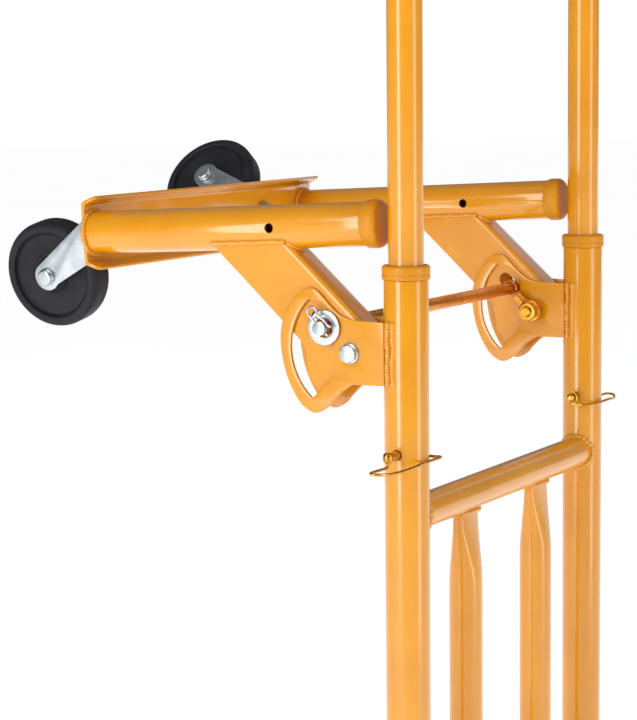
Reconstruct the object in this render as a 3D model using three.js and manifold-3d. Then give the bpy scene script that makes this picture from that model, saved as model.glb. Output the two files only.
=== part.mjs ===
// Stair climbing trolley: tubular frame, telescopic handle, fold-down castor support, three-wheel stars.
// Millimetres. +Z is up, -Y is the load side, +X and -X are the two sides. The floor is Z = 0.
import * as THREE from "three";
import { mergeVertices } from "three/addons/utils/BufferGeometryUtils.js";
import Module from "manifold-3d";

const wasm = await Module();
wasm.setup();

// Frame tubes
const SIDE_X = 191.4;
const UPRIGHT_R = 19;
const UPRIGHT_WALL = 2;
const UPRIGHT_TOP = 811;
const CROSSBAR_R = 15;
const CROSSBAR_Z = 609.5;
const LOWER_BAR_Z = 60;
const SLAT_X = 77;
const SLAT_R = 15;
const SLAT_WALL = 1.8;
const SLAT_PRESSED_HALF = 6.3;
const SLAT_PRESSED_WIDE = 37.6;
const SLAT_TAPER = 68;
const SEAM = 0.3;

// Toe plate
const TOE_THICK = 6;
const TOE_HALF_X = 207;
const TOE_BACK_Y = 24;
const TOE_FRONT_Y = -262;
const TOE_CORNER = 28;
const GUSSET_LONG = 90;

// Collars at the upright tops and the telescopic handle
const COLLAR_R = 20.4;
const COLLAR_HIGH = 12;
const HANDLE_R = 15;
const HANDLE_WALL = 1.8;
const HANDLE_FOOT = 606;
const HANDLE_BEND_Z = 1186;
const HANDLE_RAKE = THREE.MathUtils.degToRad(32);
const HANDLE_BEND_R = 120;
const HANDLE_RISE = 70;
const HANDLE_CORNER_R = 55;
const GRIP_R = 18.5;
const GRIP_LONG = 105;
const GRIP_X = 72;
const HANDLE_SLIDE = 150;

// Wire-lock pins
const PIN_Z = 665;
const PIN_R = 4;
const PIN_HEAD = 31;
const WIRE_R = 1.3;

// Pivot brackets: two plates butt against the back of each upright
const PIVOT_Y = 44;
const PIVOT_Z = 748.5;
const BRACKET_THICK = 3;
const BRACKET_IN = 15.5;
const BRACKET_OUT = BRACKET_IN + BRACKET_THICK;
const BOLT_R = 5;
const WINDOW_R = 57;
const WINDOW_CENTRE_Z = 3.5;

// Castor support, built level about the pivot and then drooped
const DROOP = THREE.MathUtils.degToRad(2.9);
const TUBE_RISE = 107.5;
const TUBE_R = 19;
const TUBE_WALL = 2;
const CAP_FACE_Y = -28.9;
const CAP_LIP = 13.7;
const CAP_R = 20.5;
const PLATE_FRONT_Y = 265;
const PLATE_THICK = 3;
const PLATE_HALF_X = 206;
const PLATE_HALF_Z = 28;
const PLATE_FLANGE = 13;
const PLATE_FLARE = 5.4;
const CROSS_HOLE_R = 4.25;
const CROSS_HOLE_Y = 72;
const ARM_ANGLE = THREE.MathUtils.degToRad(45);
const ARM_HALF = 15;
const ARM_THICK = 2.5;
const ARM_WEB_P = 26;
const ARM_EDGE_P = -26;
const ARM_EYE_R = 24;
const ROD_REACH = 31.5;
const ROD_R = 6;
const ROD_TRAVEL = 12;
const ROD_END = SIDE_X + 31;
const CLIP_X = SIDE_X + 26.5;

// Castors
const CASTOR_X = { right: -158, left: 108 };
const SWIVEL = { right: THREE.MathUtils.degToRad(10), left: THREE.MathUtils.degToRad(143) };
const CASTOR_R = 50;
const CASTOR_WIDE = 28;
const CASTOR_DROP = 69;
const CASTOR_TRAIL = 38;
const FORK_HALF = 19;
const FORK_THICK = 2.5;

// Stars and their axle
const AXLE_Y = 33;
const AXLE_Z = 130;
const AXLE_R = 10;
const AXLE_PLATE_IN = UPRIGHT_R + SEAM;
const AXLE_PLATE_THICK = 5;
const STAR_X = 237;
const STAR_REACH = 100;
const STAR_WHEEL_R = 80;
const STAR_WHEEL_WIDE = 36;
const STUB_R = 6;
const SPIDER_THICK = 3;
const SPIDER_IN = 19.5;

const ROUND = 20;

// A closed three.js geometry as a solid that can be cut and joined.
function solid(geometry) {
  const bare = geometry.index ? geometry.toNonIndexed() : geometry.clone();
  bare.deleteAttribute("normal");
  bare.deleteAttribute("uv");
  const merged = mergeVertices(bare, 1e-3);
  return new wasm.Manifold(
    new wasm.Mesh({
      numProp: 3,
      vertProperties: merged.attributes.position.array,
      triVerts: new Uint32Array(merged.index.array),
    }),
  );
}

// A solid back as a three.js geometry with flat normals.
function skin(body) {
  const mesh = body.getMesh();
  const indexed = new THREE.BufferGeometry();
  indexed.setAttribute("position", new THREE.BufferAttribute(new Float32Array(mesh.vertProperties), 3));
  indexed.setIndex(new THREE.BufferAttribute(new Uint32Array(mesh.triVerts), 1));
  const flat = indexed.toNonIndexed();
  flat.computeVertexNormals();
  return flat;
}

function join(...geometries) {
  return skin(geometries.map(solid).reduce((sum, next) => sum.add(next)));
}

function cut(geometry, ...tools) {
  return skin(tools.map(solid).reduce((rest, tool) => rest.subtract(tool), solid(geometry)));
}

// Turned shape about Z from a closed or axis-to-axis profile of [radius, z] pairs, outside face rising.
function turned(profile, segments = ROUND) {
  const points = profile.map(([r, z]) => new THREE.Vector2(r, z));
  return new THREE.LatheGeometry(points, segments).rotateX(Math.PI / 2);
}

function turnedX(profile, segments = ROUND) {
  return turned(profile, segments).rotateY(Math.PI / 2);
}

function pipe(outer, inner, low, high, segments = ROUND) {
  const profile = [[inner, low], [outer, low], [outer, high], [inner, high], [inner, low]];
  return turned(profile, segments);
}

function pipeX(outer, inner, low, high, segments = ROUND) {
  return pipe(outer, inner, low, high, segments).rotateY(Math.PI / 2);
}

function pipeY(outer, inner, low, high, segments = ROUND) {
  return pipe(outer, inner, low, high, segments).rotateX(-Math.PI / 2);
}

function barX(radius, low, high, segments = ROUND) {
  const bar = new THREE.CylinderGeometry(radius, radius, high - low, segments);
  return bar.rotateZ(-Math.PI / 2).translate((low + high) / 2, 0, 0);
}

function barY(radius, low, high, segments = ROUND) {
  const bar = new THREE.CylinderGeometry(radius, radius, high - low, segments);
  return bar.translate(0, (low + high) / 2, 0);
}

function barZ(radius, low, high, segments = ROUND) {
  const bar = new THREE.CylinderGeometry(radius, radius, high - low, segments);
  return bar.rotateX(Math.PI / 2).translate(0, 0, (low + high) / 2);
}

function block(x0, x1, y0, y1, z0, z1) {
  const box = new THREE.BoxGeometry(x1 - x0, y1 - y0, z1 - z0);
  return box.translate((x0 + x1) / 2, (y0 + y1) / 2, (z0 + z1) / 2);
}

// Plate in the YZ plane from [y, z] corners, between two X values.
function plateYZ(outline, x0, x1, holes = []) {
  const shape = new THREE.Shape(outline.map(([y, z]) => new THREE.Vector2(y, z)));
  holes.forEach((hole) => shape.holes.push(new THREE.Path(hole.map(([y, z]) => new THREE.Vector2(y, z)))));
  const plate = new THREE.ExtrudeGeometry(shape, { depth: x1 - x0, bevelEnabled: false });
  plate.rotateX(Math.PI / 2).rotateZ(Math.PI / 2);
  return plate.translate(x0, 0, 0);
}

// Plate in the XY plane from [x, y] corners, between two Z values.
function plateXY(outline, z0, z1) {
  const shape = new THREE.Shape(outline.map(([x, y]) => new THREE.Vector2(x, y)));
  const plate = new THREE.ExtrudeGeometry(shape, { depth: z1 - z0, bevelEnabled: false });
  return plate.translate(0, 0, z0);
}

function arc(centreA, centreB, radius, fromDeg, toDeg, steps) {
  return Array.from({ length: steps + 1 }, (_, i) => {
    const turn = THREE.MathUtils.degToRad(fromDeg + ((toDeg - fromDeg) * i) / steps);
    return [centreA + radius * Math.cos(turn), centreB + radius * Math.sin(turn)];
  });
}

// A path through given points, one section at each of them.
class Track extends THREE.Curve {
  constructor(points) {
    super();
    this.points = points;
  }

  getPoint(t, target = new THREE.Vector3()) {
    const along = t * (this.points.length - 1);
    const start = Math.min(Math.floor(along + 1e-9), this.points.length - 2);
    return target.lerpVectors(this.points[start], this.points[start + 1], along - start);
  }

  getPointAt(u, target) {
    return this.getPoint(u, target);
  }

  getTangentAt(u) {
    const here = Math.round(u * (this.points.length - 1));
    const before = this.points[Math.max(here - 1, 0)];
    const after = this.points[Math.min(here + 1, this.points.length - 1)];
    return after.clone().sub(before).normalize();
  }
}

// Round wire or tube along points; an inner radius leaves it hollow.
function swept(points, radius, sides, inner = 0) {
  const shape = new THREE.Shape();
  shape.absarc(0, 0, radius, 0, 2 * Math.PI, false);
  if (inner > 0) {
    const bore = new THREE.Path();
    bore.absarc(0, 0, inner, 0, 2 * Math.PI, true);
    shape.holes.push(bore);
  }
  return new THREE.ExtrudeGeometry(shape, {
    steps: points.length - 1,
    curveSegments: sides,
    bevelEnabled: false,
    extrudePath: new Track(points),
  });
}

const vec = (x, y, z) => new THREE.Vector3(x, y, z);

const PAINT = { color: 0xf2a13a, roughness: 0.45, metalness: 0.1 };
const AMBER_PLASTIC = { color: 0xc8861e, roughness: 0.5, metalness: 0 };
const ZINC = { color: 0xa9b2b8, roughness: 0.35, metalness: 0.9 };
const YELLOW_ZINC = { color: 0xc9a14a, roughness: 0.35, metalness: 0.9 };
const CHARCOAL = { color: 0x37373f, roughness: 0.7, metalness: 0 };
const BLACK = { color: 0x1c1c1e, roughness: 0.8, metalness: 0 };

function add(group, name, geometry, look) {
  const mesh = new THREE.Mesh(geometry, new THREE.MeshStandardMaterial(look));
  mesh.name = name;
  group.add(mesh);
  return mesh;
}

function holder(parent, x, y, z) {
  const group = new THREE.Group();
  group.position.set(x, y, z);
  parent.add(group);
  return group;
}

const trolley = new THREE.Group();
trolley.name = "stair_climbing_trolley";

// The right side is -X and the left side +X, seen by a person pushing from behind.
const SIDES = [
  { side: "right", sign: -1 },
  { side: "left", sign: 1 },
];

function upright() {
  const low = TOE_THICK + SEAM;
  const wall = pipe(UPRIGHT_R, UPRIGHT_R - UPRIGHT_WALL, low, UPRIGHT_TOP, 24);
  return cut(wall, barX(PIN_R + 0.3, -30, 30, 12).translate(0, 0, PIN_Z));
}

// Bar between the uprights, its ends coped to the round tubes with a welding gap.
function crossbar(z) {
  const bar = pipeX(CROSSBAR_R, CROSSBAR_R - 2, -SIDE_X + 4, SIDE_X - 4, 20);
  const cope = (x) => barZ(UPRIGHT_R + SEAM, -40, 40).translate(x, 0, 0);
  return cut(bar, cope(-SIDE_X), cope(SIDE_X)).translate(0, 0, z);
}

// Vertical tube pressed to an oval towards the crossbars.
function slat() {
  const top = CROSSBAR_Z - CROSSBAR_R - SEAM;
  const foot = LOWER_BAR_Z + CROSSBAR_R + SEAM;
  const taper = [[0, 1], [0.25, 0.85], [0.5, 0.5], [0.75, 0.15], [1, 0]];
  const stations = [
    ...taper.map(([along, pressed]) => [foot + SLAT_TAPER * along, pressed]),
    ...taper.map(([along, pressed]) => [top - SLAT_TAPER * along, pressed]).reverse(),
  ];
  const boreR = SLAT_R - SLAT_WALL;
  const outside = stations.map(([z]) => [SLAT_R, z]);
  const inside = stations.map(([z]) => [boreR, z]).reverse();
  const shape = turned([...outside, ...inside, outside[0]], 16);
  const place = shape.attributes.position;
  const flatness = (z) => {
    const near = stations.reduce((best, s) => (Math.abs(s[0] - z) < Math.abs(best[0] - z) ? s : best));
    return near[1];
  };
  for (let i = 0; i < place.count; i += 1) {
    const f = flatness(place.getZ(i));
    const inner = Math.hypot(place.getX(i), place.getY(i)) < SLAT_R - SLAT_WALL / 2;
    const radius = inner ? boreR : SLAT_R;
    const wide = SLAT_PRESSED_WIDE / 2 - (inner ? SLAT_WALL : 0);
    const thin = SLAT_PRESSED_HALF - (inner ? SLAT_WALL : 0);
    place.setX(i, place.getX(i) * THREE.MathUtils.lerp(1, wide / radius, f));
    place.setY(i, place.getY(i) * THREE.MathUtils.lerp(1, thin / radius, f));
  }
  return shape;
}

function toePlate() {
  const c = TOE_CORNER;
  const outline = [
    ...arc(TOE_HALF_X - c, TOE_FRONT_Y + c, c, -90, 0, 5),
    [TOE_HALF_X, TOE_BACK_Y],
    [-TOE_HALF_X, TOE_BACK_Y],
    ...arc(-TOE_HALF_X + c, TOE_FRONT_Y + c, c, 180, 270, 5),
  ];
  const deck = plateXY(outline, 0, TOE_THICK);
  const face = -UPRIGHT_R - SEAM;
  const rib = [[-GUSSET_LONG, TOE_THICK - 1], [face, TOE_THICK - 1], [face, 70], [face - 8, 70]];
  const ribs = [-SIDE_X, SIDE_X].map((x) => plateYZ(rib, x - 2.5, x + 2.5));
  return join(deck, ...ribs);
}

// Bracket plate outline about the pivot, with the D-shaped window the lock rod travels in.
const BRACKET_EDGE = [
  [-32.3, -26],
  [-2, -26.5],
  [8, -33],
  [16, -40.5],
  [23, -48],
  [34, -52.8],
  [45, -48],
  [54.5, -36.5],
  [62.5, -19.5],
  [66.8, 0],
  [67.3, 14],
  [64, 29],
  [57, 41],
  [48, 50.5],
  [39, 54],
  [32.5, 52.5],
  [26, 47],
  [18, 39],
  [10, 32.5],
  [2, 29.2],
  [-10, 28],
  [-32.3, 27.3],
];
const WINDOW_EDGE = [[15, -18.5], ...arc(0, WINDOW_CENTRE_Z, WINDOW_R, -50, 46, 9), [30, 42], [15, 31]];

function bracket() {
  const boltHole = arc(0, 0, BOLT_R + 0.3, 0, 340, 17);
  return plateYZ(BRACKET_EDGE, BRACKET_IN, BRACKET_OUT, [WINDOW_EDGE, boltHole]);
}

function collar() {
  const low = UPRIGHT_TOP + SEAM;
  const bore = HANDLE_R + 0.3;
  const sleeve = UPRIGHT_R - UPRIGHT_WALL - SEAM;
  return turned([
    [bore, low - 22],
    [sleeve, low - 22],
    [sleeve, low],
    [COLLAR_R, low],
    [COLLAR_R, low + COLLAR_HIGH - 2],
    [COLLAR_R - 2, low + COLLAR_HIGH],
    [bore, low + COLLAR_HIGH],
    [bore, low - 22],
  ], 24);
}

// Axle saddle plate on the inner face of an upright, carrying the axle behind it.
function axlePlate() {
  const nose = arc(AXLE_Y, 0, 19, -90, 90, 8);
  const outline = [...nose, [-8, 32], [-8, -32]];
  const bore = arc(AXLE_Y, 0, AXLE_R + 0.4, 0, 340, 17);
  return plateYZ(outline, AXLE_PLATE_IN, AXLE_PLATE_IN + AXLE_PLATE_THICK, [bore]);
}

const frame = holder(trolley, 0, 0, 0);
frame.name = "frame";
add(frame, "upper_crossbar", crossbar(CROSSBAR_Z), PAINT);
add(frame, "lower_crossbar", crossbar(LOWER_BAR_Z), PAINT);
add(frame, "toe_plate", toePlate(), PAINT);
for (const { side, sign } of SIDES) {
  const post = holder(frame, sign * SIDE_X, 0, 0);
  add(post, "upright_" + side, upright(), PAINT);
  add(post, "collar_" + side, collar(), AMBER_PLASTIC);
  add(frame, "slat_" + side, slat(), PAINT).position.x = sign * SLAT_X;
  const saddle = holder(post, 0, 0, AXLE_Z);
  const inner = sign > 0 ? -(2 * AXLE_PLATE_IN + AXLE_PLATE_THICK) : 0;
  add(saddle, "axle_plate_" + side, axlePlate(), PAINT).position.x = inner;
  const pivot = holder(post, 0, PIVOT_Y, PIVOT_Z);
  const shift = -(BRACKET_IN + BRACKET_OUT);
  add(pivot, "bracket_" + side + "_outer", bracket(), PAINT).position.x = sign > 0 ? 0 : shift;
  add(pivot, "bracket_" + side + "_inner", bracket(), PAINT).position.x = sign > 0 ? shift : 0;
  // The bolt goes in from the outer side; its nut and washer sit on the inner side.
  const headFace = BRACKET_OUT + SEAM;
  const nutFace = BRACKET_OUT + 8.4;
  const bolt = join(
    barX(8.2, headFace, headFace + 5.6, 6),
    barX(9, headFace, headFace + 1.5, 24),
    barX(BOLT_R, -nutFace - 14, headFace + 1, 20),
  );
  const nut = cut(
    join(barX(9.8, -nutFace - 10, -nutFace - 1.5, 6), barX(10.6, -nutFace - 2, -nutFace, 24)),
    barX(BOLT_R + 0.3, -nutFace - 20, 0, 20),
  );
  const facing = holder(pivot, 0, 0, 0);
  facing.rotation.z = sign > 0 ? 0 : Math.PI;
  add(facing, "pivot_bolt_" + side, bolt, ZINC);
  add(facing, "pivot_nut_" + side, nut, ZINC);
}
const AXLE_END = STAR_X + SPIDER_IN + SPIDER_THICK + 4;
add(frame, "star_axle", barX(AXLE_R, -AXLE_END, AXLE_END).translate(0, AXLE_Y, AXLE_Z), ZINC);

// Telescopic handle: one bent tube, raked back at the top.
function handleTrack() {
  const half = [];
  half.push(vec(-SIDE_X, 0, HANDLE_FOOT));
  half.push(vec(-SIDE_X, 0, HANDLE_BEND_Z));
  const turns = 4;
  for (let i = 1; i <= turns; i += 1) {
    const a = (HANDLE_RAKE * i) / turns;
    const y = HANDLE_BEND_R * (1 - Math.cos(a));
    half.push(vec(-SIDE_X, y, HANDLE_BEND_Z + HANDLE_BEND_R * Math.sin(a)));
  }
  const bendEnd = half[half.length - 1];
  const up = vec(0, Math.sin(HANDLE_RAKE), Math.cos(HANDLE_RAKE));
  const corner = bendEnd.clone().addScaledVector(up, HANDLE_RISE);
  const steps = 5;
  for (let i = 0; i <= steps; i += 1) {
    const a = (Math.PI / 2) * (i / steps);
    const along = HANDLE_CORNER_R * Math.sin(a);
    const inward = HANDLE_CORNER_R * (1 - Math.cos(a));
    half.push(corner.clone().addScaledVector(up, along).add(vec(inward, 0, 0)));
  }
  const mirrored = half.map((p) => vec(-p.x, p.y, p.z)).reverse();
  return [...half, ...mirrored];
}

function handleBow(track) {
  const tube = swept(track, HANDLE_R, 7, HANDLE_R - HANDLE_WALL);
  const slotLow = PIN_Z - PIN_R - 0.6;
  const slotHigh = PIN_Z + HANDLE_SLIDE + PIN_R + 0.6;
  const reach = HANDLE_R + 3;
  const wide = PIN_R + 0.6;
  const slot = (x) => block(x - reach, x + reach, -wide, wide, slotLow, slotHigh);
  return cut(tube, slot(-SIDE_X), slot(SIDE_X));
}

function grip(track) {
  const bar = track[Math.floor(track.length / 2)];
  const bore = HANDLE_R + 0.7;
  const profile = [
    [bore, -GRIP_LONG / 2],
    [GRIP_R - 1.5, -GRIP_LONG / 2],
    [GRIP_R, -GRIP_LONG / 2 + 3],
    [GRIP_R, GRIP_LONG / 2 - 3],
    [GRIP_R - 1.5, GRIP_LONG / 2],
    [bore, GRIP_LONG / 2],
    [bore, -GRIP_LONG / 2],
  ];
  return turnedX(profile, 16).translate(0, bar.y, bar.z);
}

const handle = holder(trolley, 0, 0, 0);
handle.name = "handle";
const track = handleTrack();
add(handle, "handle_bow", handleBow(track), PAINT);
for (const { side, sign } of SIDES) {
  add(handle, "grip_" + side, grip(track), BLACK).position.x = sign * GRIP_X;
}

// Wire-lock pins: the pin goes through upright and handle, the spring wire snaps round its tip.
function lockPin() {
  const shank = barX(PIN_R, -UPRIGHT_R - 13, PIN_HEAD, 16);
  const lug = barZ(5.2, -5, 5, 16).translate(PIN_HEAD + 3, 0, 0);
  const wireHole = barZ(WIRE_R + 0.5, -8, 8, 12).translate(PIN_HEAD + 4, 0, 0);
  return cut(join(shank, lug), wireHole);
}

function wireLock() {
  const hinge = PIN_HEAD + 4;
  const tip = -UPRIGHT_R - 8;
  const clear = PIN_R + WIRE_R + 0.5;
  const hook = arc(0, 0, clear, 100, 270, 6).map(([y, z]) => vec(tip, y, z));
  const drop = hook[hook.length - 1].z;
  return swept([
    ...hook,
    vec(tip, -9, drop - 1.2),
    vec(tip + 1.5, -15, drop - 1),
    vec(tip + 6, -20.5, drop),
    vec(tip + 11, -22.3, drop),
    vec(16, -22.3, drop),
    vec(24, -21.5, drop - 1),
    vec(40, -17, drop - 3),
    vec(54, -12.5, -9.5),
    vec(61, -9.5, -9),
    vec(66, -5.5, -8.6),
    vec(66.5, -1.5, -8.3),
    vec(63, 1.2, -8.2),
    vec(55, 1.5, -8.2),
    vec(hinge + 4.5, 0.6, -8.2),
    vec(hinge + 1.4, 0, -7.8),
    vec(hinge + 0.1, 0, -6.4),
    vec(hinge, 0, -4.5),
    vec(hinge, 0, 4),
  ], WIRE_R, 3);
}

for (const { side, sign } of SIDES) {
  const pin = holder(trolley, sign * SIDE_X, 0, PIN_Z);
  pin.name = "pin_group_" + side;
  pin.scale.x = sign;
  add(pin, "lock_pin_" + side, lockPin(), YELLOW_ZINC);
  add(pin, "wire_lock_" + side, wireLock(), YELLOW_ZINC);
}

// Castor support frame
function supportTube() {
  const low = CAP_FACE_Y + CAP_LIP + SEAM;
  const wall = pipeY(TUBE_R, TUBE_R - TUBE_WALL, low, PLATE_FRONT_Y - SEAM);
  return cut(wall, barX(CROSS_HOLE_R, -30, 30, 16).translate(0, CROSS_HOLE_Y, 0));
}

function tubeCap() {
  const plug = TUBE_R - TUBE_WALL - SEAM;
  const back = CAP_FACE_Y + CAP_LIP;
  const profile = [
    [0, CAP_FACE_Y],
    [CAP_R - 2.5, CAP_FACE_Y],
    [CAP_R, CAP_FACE_Y + 2.5],
    [CAP_R, back],
    [plug, back],
    [plug, back + 16],
    [0, back + 16],
  ];
  return turned(profile).rotateX(-Math.PI / 2);
}

// Folded channel whose short top and bottom flanges flare forward, bored for the castor stems.
function rearPlate() {
  const back = PLATE_FRONT_Y + PLATE_THICK;
  const lip = PLATE_FRONT_Y - PLATE_FLANGE;
  const half = PLATE_HALF_Z;
  const edge = half + PLATE_FLARE;
  const upper = [
    [back, half - 1.5],
    [back - 1.2, half + 0.2],
    [lip + 1, edge],
    [lip, edge - PLATE_THICK + 0.2],
    [PLATE_FRONT_Y, half - PLATE_THICK + 0.6],
  ];
  const lower = upper.map(([y, z]) => [y, -z]).reverse();
  const outline = [...upper, ...lower].map(([y, z]) => [y, z + TUBE_RISE]);
  const channel = plateYZ(outline, -PLATE_HALF_X, PLATE_HALF_X);
  const bore = (x) => barY(6.3, back - 10, back + 10, 16).translate(x, 0, TUBE_RISE);
  return cut(channel, ...Object.values(CASTOR_X).map(bore));
}

// Arm coordinates: s runs from the pivot up to the tube, p to the web side.
function armPoint(s, p) {
  const c = Math.cos(ARM_ANGLE);
  const n = Math.sin(ARM_ANGLE);
  return [s * c - p * n, s * n + p * c];
}

// Corners of the heel below the eye, which fills the bracket window, as [y, z] about the pivot.
const ARM_HEEL = [
  [-14, -19],
  [4, -25],
  [17, -35],
  [30, -36],
  [44, -20],
  [44, 6],
];

function arm() {
  const eye = arc(0, 0, ARM_EYE_R, 220, 100, 9).map(([s, p]) => armPoint(s, p));
  const outline = [
    ...ARM_HEEL,
    armPoint(176, ARM_EDGE_P),
    armPoint(150, ARM_WEB_P),
    armPoint(6, ARM_WEB_P),
    ...eye.reverse(),
  ];
  const outer = plateYZ(outline, -ARM_HALF, ARM_HALF);
  const web = ARM_WEB_P - ARM_THICK;
  const pocket = plateYZ(
    [armPoint(3, -60), armPoint(230, -60), armPoint(230, web), armPoint(3, web)],
    -ARM_HALF + ARM_THICK,
    ARM_HALF - ARM_THICK,
  );
  const throat = plateYZ(
    [armPoint(-40, -60), armPoint(4, -60), armPoint(4, 40), armPoint(-40, 40)],
    -ARM_HALF + ARM_THICK,
    ARM_HALF - ARM_THICK,
  );
  const slotR = ROD_R + 0.3;
  const slot = plateYZ(
    [
      ...arc(0, 0, slotR, 90, 270, 8).map(([s, p]) => armPoint(s + ROD_REACH, p)),
      ...arc(0, 0, slotR, -90, 90, 8).map(([s, p]) => armPoint(s + ROD_REACH + ROD_TRAVEL, p)),
    ],
    -30,
    30,
  );
  const seat = barY(TUBE_R + SEAM, -40, 240).translate(0, 0, TUBE_RISE);
  const above = block(-30, 30, -40, 240, TUBE_RISE - 8, TUBE_RISE + 60);
  return cut(outer, pocket, throat, slot, seat, above, barX(BOLT_R + 0.1, -30, 30, 20));
}

// Castor head fixed to the plate: pressed disc, ball race and threaded stem with its nut in front.
function castorHead() {
  const back = PLATE_FRONT_Y + PLATE_THICK + SEAM;
  const nutFace = PLATE_FRONT_Y - SEAM;
  const race = turned([
    [0, nutFace - 15],
    [5.2, nutFace - 15],
    [6, nutFace - 14],
    [6, back],
    [29, back],
    [29, back + 3],
    [24, back + 6],
    [24, back + 9],
    [9, back + 9],
    [9, back + 14],
    [0, back + 14],
  ], 16).rotateX(-Math.PI / 2);
  const nut = barY(10.6, nutFace - 8.5, nutFace - 2, 6);
  const washer = barY(12.5, nutFace - 2.2, nutFace, 14);
  return join(race, nut, washer);
}

// Fork in its own frame: the stem axis is +Y, the axle lies down -Z and back +Y, wheel axis X.
function castorFork() {
  const crownY = 12.6;
  const cheek = [
    [crownY, 20],
    [crownY, -22],
    ...arc(CASTOR_DROP, -CASTOR_TRAIL, 13, 215, 415, 10),
  ];
  const cheeks = [-1, 1].map((s) => {
    const x0 = s > 0 ? FORK_HALF - FORK_THICK : -FORK_HALF;
    return plateYZ(cheek, x0, x0 + FORK_THICK);
  });
  const crown = block(-FORK_HALF, FORK_HALF, crownY, crownY + FORK_THICK, -22, 20);
  const whole = join(crown, ...cheeks);
  const stemBore = barY(9.5, 0, 30, 20);
  const axleBore = barX(4.2, -30, 30, 16).translate(0, CASTOR_DROP, -CASTOR_TRAIL);
  return cut(whole, stemBore, axleBore);
}

// Wheel bolt with its lock nut run home.
function castorBolt() {
  const face = FORK_HALF + SEAM;
  return join(
    barX(4, -face - 9, face + 1, 16),
    barX(7.4, face, face + 5, 6),
    barX(8.2, face, face + 1.4, 20),
    barX(7.4, -face - 7, -face, 6),
  );
}

function castorWheel() {
  const half = CASTOR_WIDE / 2;
  return turnedX([
    [4.2, -half - 1],
    [10, -half - 1],
    [12, -half + 3],
    [33, -half + 3],
    [37, -half],
    [45, -half],
    [CASTOR_R, -half + 6],
    [CASTOR_R, half - 6],
    [45, half],
    [37, half],
    [33, half - 3],
    [12, half - 3],
    [10, half + 1],
    [4.2, half + 1],
    [4.2, -half - 1],
  ], 16);
}

const support = holder(trolley, 0, PIVOT_Y, PIVOT_Z);
support.name = "support";
support.rotation.x = -DROOP;
add(support, "rear_plate", rearPlate(), PAINT);
for (const { side, sign } of SIDES) {
  const beam = holder(support, sign * SIDE_X, 0, TUBE_RISE);
  add(beam, "support_tube_" + side, supportTube(), PAINT);
  add(beam, "tube_cap_" + side, tubeCap(), AMBER_PLASTIC);
  add(holder(support, sign * SIDE_X, 0, 0), "support_arm_" + side, arm(), PAINT);
  const stem = holder(support, CASTOR_X[side], 0, TUBE_RISE);
  add(stem, "castor_head_" + side, castorHead(), ZINC);
  const swivel = holder(stem, 0, PLATE_FRONT_Y + PLATE_THICK, 0);
  swivel.rotation.y = -SWIVEL[side];
  add(swivel, "castor_fork_" + side, castorFork(), ZINC);
  const hub = holder(swivel, 0, CASTOR_DROP, -CASTOR_TRAIL);
  add(hub, "castor_bolt_" + side, castorBolt(), ZINC);
  add(hub, "castor_wheel_" + side, castorWheel(), CHARCOAL);
}

// Lock rod through both arms, with washers, spring clips and pull-back springs
const lock = holder(support, 0, ROD_REACH * Math.cos(ARM_ANGLE), ROD_REACH * Math.sin(ARM_ANGLE));
lock.name = "lock";
lock.rotation.x = ARM_ANGLE;

function lockRod() {
  const rod = barX(ROD_R, -ROD_END, ROD_END, 20);
  const hole = (x) => barY(1.5, -20, 20, 10).translate(x, 0, 0);
  return cut(rod, hole(-CLIP_X), hole(CLIP_X));
}

function clip() {
  const points = [vec(0, -9, 0), vec(0, 9, 0), vec(0, 11, 0.3)];
  const ring = arc(14.5, 5, 4.6, -90, 210, 10);
  points.push(...ring.map(([y, z], i) => vec((i / 10) * 2.6, y, z)));
  points.push(vec(2.6, 10.5, 6.6));
  points.push(vec(2.2, 7, 7.4));
  points.push(vec(1.6, 0, 7.9));
  points.push(vec(1.6, -4, 7.2));
  points.push(vec(1.6, -7, 8.6));
  return swept(points, 1.1, 2);
}

// Extension spring from the lock rod (at the origin) to the pivot bolt, along -Y.
function spring() {
  const coilR = 5.4;
  const wire = 0.8;
  const rodHook = ROD_R + wire + 0.3;
  const points = arc(0, 0, rodHook, 150, -140, 8).map(([y, z]) => vec(0, y, z));
  const turns = 4;
  const perTurn = 6;
  const start = -10.5;
  const end = -ROD_REACH + BOLT_R + 5.5;
  for (let i = 0; i <= turns * perTurn; i += 1) {
    const a = (2 * Math.PI * i) / perTurn;
    const along = start + ((end - start) * i) / (turns * perTurn);
    points.push(vec(coilR * Math.sin(a), along, coilR * Math.cos(a)));
  }
  const boltHook = BOLT_R + wire + 0.3;
  points.push(...arc(-ROD_REACH, 0, boltHook, 30, -260, 8).map(([y, z]) => vec(0, y, z)));
  return swept(points, wire, 2);
}

add(lock, "lock_rod", lockRod(), ZINC);
for (const { side, sign } of SIDES) {
  const washerX = sign * (SIDE_X + BRACKET_OUT + 1.8);
  const washer = pipeX(15, ROD_R + 0.15, -1.4, 1.4);
  add(lock, "lock_washer_" + side, washer, ZINC).position.x = washerX;
  const retainer = holder(lock, sign * CLIP_X, 0, 0);
  retainer.scale.x = sign;
  add(retainer, "lock_clip_" + side, clip(), BLACK);
  const inner = holder(lock, sign * (SIDE_X - BRACKET_OUT - 6.8), 0, 0);
  add(inner, "lock_spring_" + side, spring(), ZINC);
}

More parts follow.
